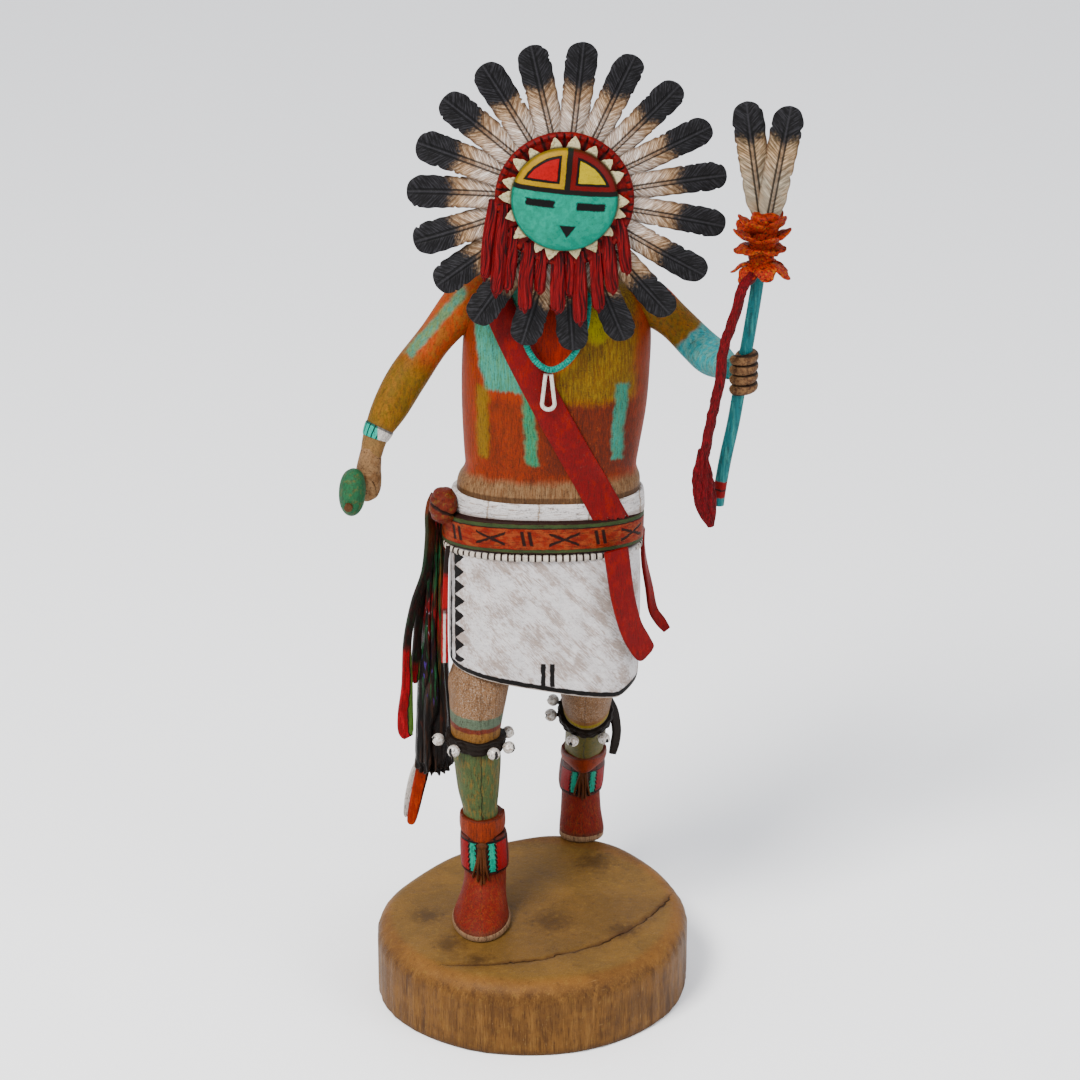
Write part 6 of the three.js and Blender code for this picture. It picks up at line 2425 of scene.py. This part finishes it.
@dataclass
class Sash:
    """The sash at the right hip: its knot, its ends and the furred panel behind."""

    at: Vector = field(default_factory=lambda: shift("sash_knot", -33.4, 6.4, 198))
    panel_shift: Vector = field(default_factory=lambda: shift("side_sash", -38, 24.8, 132.2))
    knot_at: Row = (-32.6, 6.4, 197.9)
    knot_size: Row = (5.2, 6.2, 6.6)
    folds: Row = (1, 0.5, 1.7)
    outer: Sequence[Row] = (
        (-36.6, 12.4, 199.8, 1.4, 84), (-37.8, 12.4, 197, 2.6, 80), (-38.2, 12.6, 192, 3, 72),
        (-38, 13.6, 182, 2.8, 60), (-39.6, 14, 168, 2, 40),
        (-44.2, 14.4, 154, 1.6, 30), (-47.2, 14.6, 138, 1.6, 25), (-47.6, 14.6, 120, 2.2, 20),
        (-48.4, 14.6, 108, 3, 12), (-48.4, 14.6, 100.4, 3.1, 8), (-47.4, 14.6, 97.6, 2, 8),
    )
    inner: Sequence[Row] = (
        (-37.4, 20, 186, 2.2, 70), (-38.6, 20.4, 172, 2, 50), (-42, 19.4, 154, 1.7, 30),
        (-43.6, 18.8, 138, 1.6, 30), (-44.2, 18.8, 127, 1.9, 25), (-44.6, 18.8, 121, 1.5, 20),
        (-44.9, 18.8, 118.8, 0.7, 20),
    )
    tip: Sequence[Row] = (
        (-41.4, 24, 84, 2.4, 0), (-42.6, 25, 77.4, 2.7, 0), (-44.4, 26, 69, 2.5, 0),
        (-46.4, 27, 59, 2.2, 0), (-47.4, 27, 54.4, 1.7, 0), (-47.7, 27, 53.2, 0.8, 0),
    )
    white_tip: Sequence[Row] = (
        (-43.4, 26.4, 82, 1.3, 10), (-45.8, 27, 75, 1.8, 10), (-48, 27.6, 65, 1.7, 10),
        (-49.4, 28, 57.6, 1, 10), (-49.7, 28, 56, 0.4, 10),
    )
    panel: Sequence[Row] = (
        (78.5, -38.4, 26, 5.4, 6.6), (84, -38, 25.6, 7.2, 8.6), (104, -37.8, 25, 6.6, 9.6),
        (126, -37.6, 24.4, 5.6, 9.4), (148, -37, 24, 4.6, 8.4), (170, -36, 24, 3.6, 7),
        (186, -34.6, 24, 2.8, 5.4),
    )

    def build(self) -> None:
        """Makes the sash."""
        at = self.at
        x, y, z = self.knot_at
        a, b, c = self.knot_size
        rings = []
        for i in range(1, 60):
            h, r = superellipse(math.pi * (1 - i / 60), 2.3)
            rings.append(level_ring((z + h * c, x, y, a * r, b * r), at, 96, 2.3))
        knot = Bench.loft("knot", rings)
        Bench.push(knot, self.fold)
        present(knot, Slot.RED, self.knot_paint(), "sash_knot")
        for name, node, middle, rows, slot, paint in (
            ("sash_outer", "sash_tail_outer", (-42.7, 13, 145.5), self.outer, Slot.DARK,
             self.tail_paint("sash_outer_paint", 134, 0.9)),
            ("sash_inner", "sash_tail_inner", (-41.3, 20, 152.5), self.inner, Slot.DARK,
             self.tail_paint("sash_inner_paint", 126, 0.5)),
            ("sash_end", "sash_tip", (-43.5, 26, 65.7), self.tip, Slot.RED, self.end_paint()),
            ("sash_end_white", "sash_tip", (-43.5, 26, 65.7), self.white_tip, Slot.WHITE,
             painted(
                 "sash_white_paint", "b8b0a8", Aged(grain=(0.4, 0.4, 2), washed=0.7, shade=0.9)
             )),
        ):
            end = ribbon(name, rows, shift(node, *middle), 1.9)
            present(end, slot, paint, node)
        rings = level_rings(self.panel, self.panel_shift, 180, 220, 2.6)
        panel = Bench.loft("fox_panel", rings)
        Bench.push(panel, self.strand)
        present(panel, Slot.DARK, self.panel_paint(), "side_sash", sharp=80)

    def fold(self, spot: Vector, _: Vector) -> float:
        """The creases of the sash where it is knotted."""
        x, y, z = spot - self.at - Vector(self.knot_at)
        size, steep, many = self.folds
        main = math.exp(-(((z + x * steep + 0.6) / 0.8) ** 2))
        small = math.sin(many * (z - x * 0.5) + 0.8 * math.sin(y * 0.9)) * 0.16
        roll = math.exp(-(((z + x * 0.2 - 3.4) / 0.5) ** 2)) * 0.4 * eased(3, -2, x)
        return 0.15 + small - size * main - roll

    def strand(self, spot: Vector, _: Vector) -> float:
        """Twisted locks down the panel, ragged at the bottom."""
        stations = self.panel
        at = self.panel_shift
        _, x, y, a, b = section_at(stations, min(max(spot.z - at.z, 78.6), 185.9))
        turn = math.atan2((spot.y - at.y - y) / b, (spot.x - at.x - x) / a)
        sway = 1.1 * math.sin(spot.z * 0.045 + turn) + 0.5 * math.sin(spot.z * 0.13 + turn * 3)
        broad = abs(math.sin(turn * 4.5 + sway)) ** 0.6
        fine = math.sin(turn * 23 + sway * 4 + 0.5 * math.sin(spot.z * 0.7))
        size = eased(186, 165, spot.z) * 0.9 + 0.3
        ragged = 0.0
        if spot.z < 84:
            ragged = 1.3 * math.sin(spot.x * 2.1 + 1) * math.sin(spot.y * 1.7) - 0.3
        return (broad * 1.5 - 1.35) * size + fine * 0.16 + ragged * eased(86, 80, spot.z)

    def knot_paint(self) -> bpy.types.Material:
        """Red-brown with painted shade in its creases and an ochre bloom."""
        g = Graph("knot_paint")
        at = g.coords()
        blotch = g.noise(at, (2, 2, 2), 4, 0.6)
        colour = g.layers(
            hexed("6e2614"), (g.step(blotch, 0.52, 0.66) * 0.7, hexed("7c5a22")),
            (g.step(blotch, 0.46, 0.34) * 0.8, hexed("641410")),
            # Darkest where the folds are carved deepest: painted shade in the creases.
            (g.step(g.carved(), -0.1, -0.5) * 0.9, hexed("140c06")),
        )
        return Aged(streak=0.4, wear=0.1, washed=0.6).finish(g, at, colour)

    def tail_paint(self, name: str, change: float, wide: float) -> bpy.types.Material:
        """A dark sash end edged in green, with red in its lower part.

        Args:
            name: The material's name.
            change: The height at which the red begins.
            wide: How wide the green edge is.

        Returns:
            The material.
        """
        g = Graph(name)
        at = g.coords()
        u, _ = g.uv()
        u = u + g.wander(at, 3, 0.3)
        z = at[2] + g.wander(at, 3, 2)
        low = g.step(z, change + 3, change - 3)
        blotch = g.noise(at, (1.2, 1.2, 5), 4, 0.6)
        red = g.mix(g.step(blotch, 0.45, 0.6), hexed("8c0e16"), hexed("b01420"))
        colour = g.layers(
            g.mix(g.step(z, 172, 182), hexed("1c1410"), hexed("6a3018")),
            (g.step(blotch, 0.5, 0.62) * 0.7, hexed("3f1610")),
            (g.step(blotch, 0.45, 0.36) * 0.5, hexed("1d3a20")),
            (low, red), (g.step(u, wide, wide + 0.4) * low, hexed("4c6e26")),
            (g.band(u, wide - 0.2, wide + 0.3, 0.12) * low, hexed("0c0a08")),
            (g.step(abs(u), 1.5, 1.9) * g.step(z, change, change + 20) * 0.8, hexed("17351f")),
        )
        return Aged(streak=0.5, mottle=0.4, wear=0.06, washed=0.5).finish(g, at, colour)

    def end_paint(self) -> bpy.types.Material:
        """Orange-red with a dark edge on the inside, and painted shade at the top under the fur
        panel.
        """
        g = Graph("sash_end_paint")
        at = g.coords()
        u, _ = g.uv()
        blotch = g.noise(at, (1, 1, 4), 4, 0.6)
        colour = g.layers(
            hexed("a32a10"), (g.step(blotch, 0.5, 0.64), hexed("b83d16")),
            (g.step(u + g.wander(at, 2, 0.4), 1.4, 2), hexed("2a0e08")),
            # Darker towards the top, under the fur panel: painted shade.
            (g.step(at[2], 74, 82) * 0.8, hexed("30110a")),
        )
        return Aged(wear=0.06, washed=0.5).finish(g, at, colour)

    def panel_paint(self) -> bpy.types.Material:
        """Near black, with streaks of brown, red, green and purple and a few white dots, and
        painted shade in the deep grooves.
        """
        g = Graph("panel_paint")
        x, y, z = at = g.coords()
        sway = g.math("SINE", z * 0.05) * 1.2
        drawn = (x + sway, y, z)
        one = g.noise(drawn, (1.1, 1.1, 26), 3, 0.5)
        two = g.noise((x + 31, y + 7, z), (1.2, 1.2, 20), 3, 0.5)
        three = g.noise((x + 5, y - 19, z), (1.4, 1.4, 9), 2, 0.5)
        dots = g.noise(at, (0.7, 0.7, 1.3), 1, 0.4)
        brown = g.step(one, 0.45, 0.58) * g.step(x, -38.5, -35.5) * g.band(z, 122, 182, 8)
        colour = g.layers(
            hexed("120d0a"), (brown * 0.95, hexed("7a4a18")),
            (g.step(one, 0.55, 0.64) * 0.6, hexed("4a2c1a")),
            (g.step(two, 0.54, 0.6) * g.step(z, 128, 150) * 0.95, hexed("8e1418")),
            (g.step(two, 0.45, 0.39) * g.step(z, 104, 124) * 0.95, hexed("1a5a32")),
            (g.step(three, 0.62, 0.66) * g.band(z, 112, 134, 4) * 0.9, hexed("4a2c84")),
            (g.step(three, 0.34, 0.3) * g.band(z, 98, 120, 4) * 0.8, hexed("5a2416")),
            (g.step(dots, 0.66, 0.69) * g.band(z, 138, 162, 3) * g.band(x, -40.5, -38, 0.5),
             hexed("a79aa8")),
            # Blackest where the grooves are carved deepest: painted shade.
            (g.step(g.carved(), -0.7, -1.2) * 0.85, hexed("040303")),
        )
        coat = Aged(grain=(0.5, 0.5, 8), streak=0.6, mottle=0.4, wear=0.0, washed=0.5,
                    roughness=0.42, depth=0.3)
        return coat.finish(g, at, colour, one * 2)


# ------------------------------------------------------------------ the bells


@dataclass
class Knee:
    """The dark strap below a knee and the bells on it."""

    side: str
    middle: Row
    at: Row
    along: Row
    around: float
    bells_at: Row
    thick: float = 1.1
    half_height: float = 2.5
    loose: Sequence[Row] = ()
    bell: float = 2.45

    def bell_shape(self) -> bpy.types.Object:
        """Makes one bell: a seam round its middle and a slot that faces out and down."""
        rows = []
        for i in range(39):
            a = i / 38 * math.pi
            seam = 0.16 * math.exp(-(((a - math.pi / 2) / 0.09) ** 2))
            rows.append(((self.bell - 0.1 + seam) * math.sin(a), -self.bell * math.cos(a)))
        bell = Bench.spin("bell", rows, 68, Vector(), Vector((0, 0, 1)))

        def slot(spot: Vector, normal: Vector) -> float:
            """The slot, ended by two round holes."""
            out = normal.x * 0.72 - normal.z * 0.7
            along = normal.x * 0.7 + normal.z * 0.72
            if out < 0:
                return 0
            cut = math.exp(-((spot.y / 0.62) ** 4)) * eased(1.0, 0.8, abs(along))
            holes = math.exp(-((math.hypot(spot.y, (abs(along) - 0.75) * self.bell) / 0.62) ** 4))
            return -0.75 * max(cut, holes)

        Bench.push(bell, slot)
        return bell

    def thong(self, name: str, spot: Vector, middle: Vector, axis: Vector) -> bpy.types.Object:
        """Makes the short leather thong that holds a bell to the strap.

        Args:
            name: The piece's name.
            spot: The bell's middle.
            middle: The strap's middle.
            axis: The way the strap's ring faces.

        Returns:
            The thong.
        """
        high = (spot - middle).dot(axis)
        out = (spot - middle - axis * high).normalized()
        near = min(max(high, -self.half_height * 0.6), self.half_height * 0.6)
        start = middle + axis * near + out * (self.around + 0.2)
        bend = start.lerp(spot, 0.5) - axis * 0.3
        rows = [(*start, 0.9, 0.9), (*bend, 0.75, 0.75), (*spot, 0.7, 0.7)]
        return Bench.loft(name, limb_rings(rows, Vector(), 20, 10))

    def build(self) -> None:
        """Makes the strap and its bells."""
        at = shift(f"bell_strap_{self.side}", *self.middle)
        axis = Vector(self.along).normalized()
        turn = Vector((0, 0, 1)).rotation_difference(axis).to_matrix()
        reach = self.around + 0.3 + self.thick
        rings = []
        for i in range(25):
            h = mixed(-self.half_height, self.half_height, i / 24)
            bulge = reach - 0.5 * abs(i / 12 - 1) ** 5
            ring = level_ring((h, 0, 0, bulge, bulge), Vector(), 160)
            for j, p in enumerate(ring):
                wave = 0.22 * math.sin(j / 160 * TURN * 17 + h) + 0.14 * math.sin(h * 3.4)
                p += Vector((p.x, p.y, 0)).normalized() * wave
                p.z += 0.35 * math.sin(j / 160 * TURN * 6 + 1)
            rings.append([at + Vector(self.at) + turn @ p for p in ring])
        coat = Aged(grain=(1, 1, 1), streak=0.5, wear=0.25, wood="4a3322", washed=0.3)
        paint = painted(f"knee_{self.side}_paint", "1d150f", coat)
        strap = Bench.loft(f"knee_strap_{self.side}", rings)
        present(strap, Slot.DARK, paint, f"bell_strap_{self.side}")
        if self.loose:
            end = ribbon(f"knee_end_{self.side}", self.loose, at, 1.7)
            present(end, Slot.DARK, paint, f"bell_strap_{self.side}")
        metal = self.metal()
        first = self.bell_shape()
        for i, degrees in enumerate(self.bells_at):
            node = f"bell_{self.side}_{i + 1}"
            spun = Matrix.Rotation(math.radians(degrees), 4, "Z")
            tipped = Matrix.Rotation(math.radians(37 * i % 50 - 25), 4, "X")
            move = Matrix.Translation(centre(node) * MM) @ turn.to_4x4() @ spun @ tipped
            bell = Bench.copied(first, f"jingle_{self.side}_{i + 1}", move)
            present(bell, Slot.BELL, metal, node)
            name = f"thong_{self.side}_{i + 1}"
            tie = self.thong(name, centre(node), at + Vector(self.at), axis)
            present(tie, Slot.DARK, paint, f"bell_strap_{self.side}")
        bpy.data.objects.remove(first)

    def metal(self) -> bpy.types.Material:
        """Dull silver with a brown bloom, and black in the slot as painted shade for the hollow
        inside.
        """
        g = Graph(f"bell_{self.side}_metal")
        g.shader.inputs["Metallic"].default_value = 0.3
        g.shader.inputs["Specular IOR Level"].default_value = 0.5
        at = g.coords()
        bloom = g.noise(at, (1, 1, 1), 3, 0.6)
        # Black in the carved slot: painted shade for the dark inside the bell.
        slot = g.step(g.carved(), -0.05, -0.2)
        colour = g.layers(
            hexed("cbc5bd"), (g.step(bloom, 0.48, 0.62) * 0.8, hexed("7c6450")),
            (g.step(bloom, 0.45, 0.34) * 0.8, hexed("3c3026")), (slot, hexed("060505")),
        )
        colour = g.tone(colour, PIGMENT, 1.0)
        return g.finish(colour, 0.42 + slot * 0.4, bloom - slot, 0.12)


RIGHT_KNEE = Knee(
    side="right",
    middle=(-21, -2.7, 105.6),
    at=(-21, -2.7, 105.6),
    along=(0.06, 0, 1),
    around=10.1,
    bells_at=(190, 236, 300, 334, 30, 108),
)

LEFT_KNEE = Knee(
    side="left",
    middle=(23.3, 38.4, 92.4),
    at=(21.5, 38.4, 97),
    along=(0, -0.62, 0.78),
    around=9.4,
    bells_at=(186, 158, 248, 302, 96),
    loose=(
        (30.4, 41, 101, 2.4, 60), (32.6, 40, 96, 2.4, 50), (33.8, 38.6, 89, 2, 40),
        (33.2, 37.6, 83.4, 1.9, 30), (32.2, 37, 79.2, 1.4, 20),
    ),
)


# ------------------------------------------------------------------ the studio


@dataclass
class Studio:
    """The pale floor, the soft lights and the camera."""

    camera_at: Row = (3.56, -1191, 687)
    pitch: float = 22.8
    lens: float = 115.2
    floor_size: float = 6000
    sky: Paint = (0.92, 0.94, 1)
    sky_strength: float = 1.3
    look_at: Row = (0, 0, 200)

    def build(self) -> None:
        """Sets the scene up."""
        bpy.ops.mesh.primitive_plane_add(size=1)
        floor = Bench.named("floor")
        Bench.modify(floor, "SUBSURF", levels=1, subdivision_type="SIMPLE")
        floor.data.transform(Matrix.Scale(self.floor_size * MM, 4))
        paint = Graph("floor_paint")
        floor.data.materials.append(paint.finish(hexed("f6f6f6"), 0.6))
        world = bpy.data.worlds.new("studio")
        bpy.context.scene.world = world
        world.use_nodes = True
        back = world.node_tree.nodes["Background"]
        back.inputs["Color"].default_value = (*self.sky, 1)
        back.inputs["Strength"].default_value = self.sky_strength
        self.light("key", (-700, -900, 1500), 600, 62, (1, 0.98, 0.95))
        self.light("fill", (1300, -900, 900), 900, 17, (0.95, 0.97, 1))
        camera = bpy.data.objects.new("camera", bpy.data.cameras.new("camera"))
        bpy.context.collection.objects.link(camera)
        camera.location = Vector(self.camera_at) * MM
        camera.rotation_euler = (math.radians(90 - self.pitch), 0, 0)
        camera.data.lens = self.lens
        camera.data.sensor_width = 36
        camera.data.clip_start = 0.05
        bpy.context.scene.camera = camera

    def light(self, name: str, at: Row, size: float, power: float, colour: Paint) -> None:
        """Adds a soft square light that looks at the dancer."""
        lamp = bpy.data.lights.new(name, "AREA")
        lamp.size = size * MM
        lamp.energy = power
        lamp.color = colour
        made = bpy.data.objects.new(name, lamp)
        bpy.context.collection.objects.link(made)
        made.location = Vector(at) * MM
        aim = Vector(self.look_at) * MM - made.location
        made.rotation_euler = aim.to_track_quat("-Z", "Y").to_euler()


def main() -> None:
    """Builds the dancer and the studio round it."""
    logging.basicConfig(level=logging.INFO, format="%(name)s: %(message)s")
    trunk = Trunk()
    assemblies = (
        RootSlab(), trunk, Kilt(), FRONT_LEG, BACK_LEG, RightArm(), LeftArm(), Rattle(), Crown(),
        Head(), Staff(), Strap(trunk), Necklace(trunk), Sash(),
        RIGHT_KNEE, LEFT_KNEE, Studio(),
    )
    for assembly in assemblies:
        assembly.build()
    Bench.clear()
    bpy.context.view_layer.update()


if __name__ == "__main__":
    main()
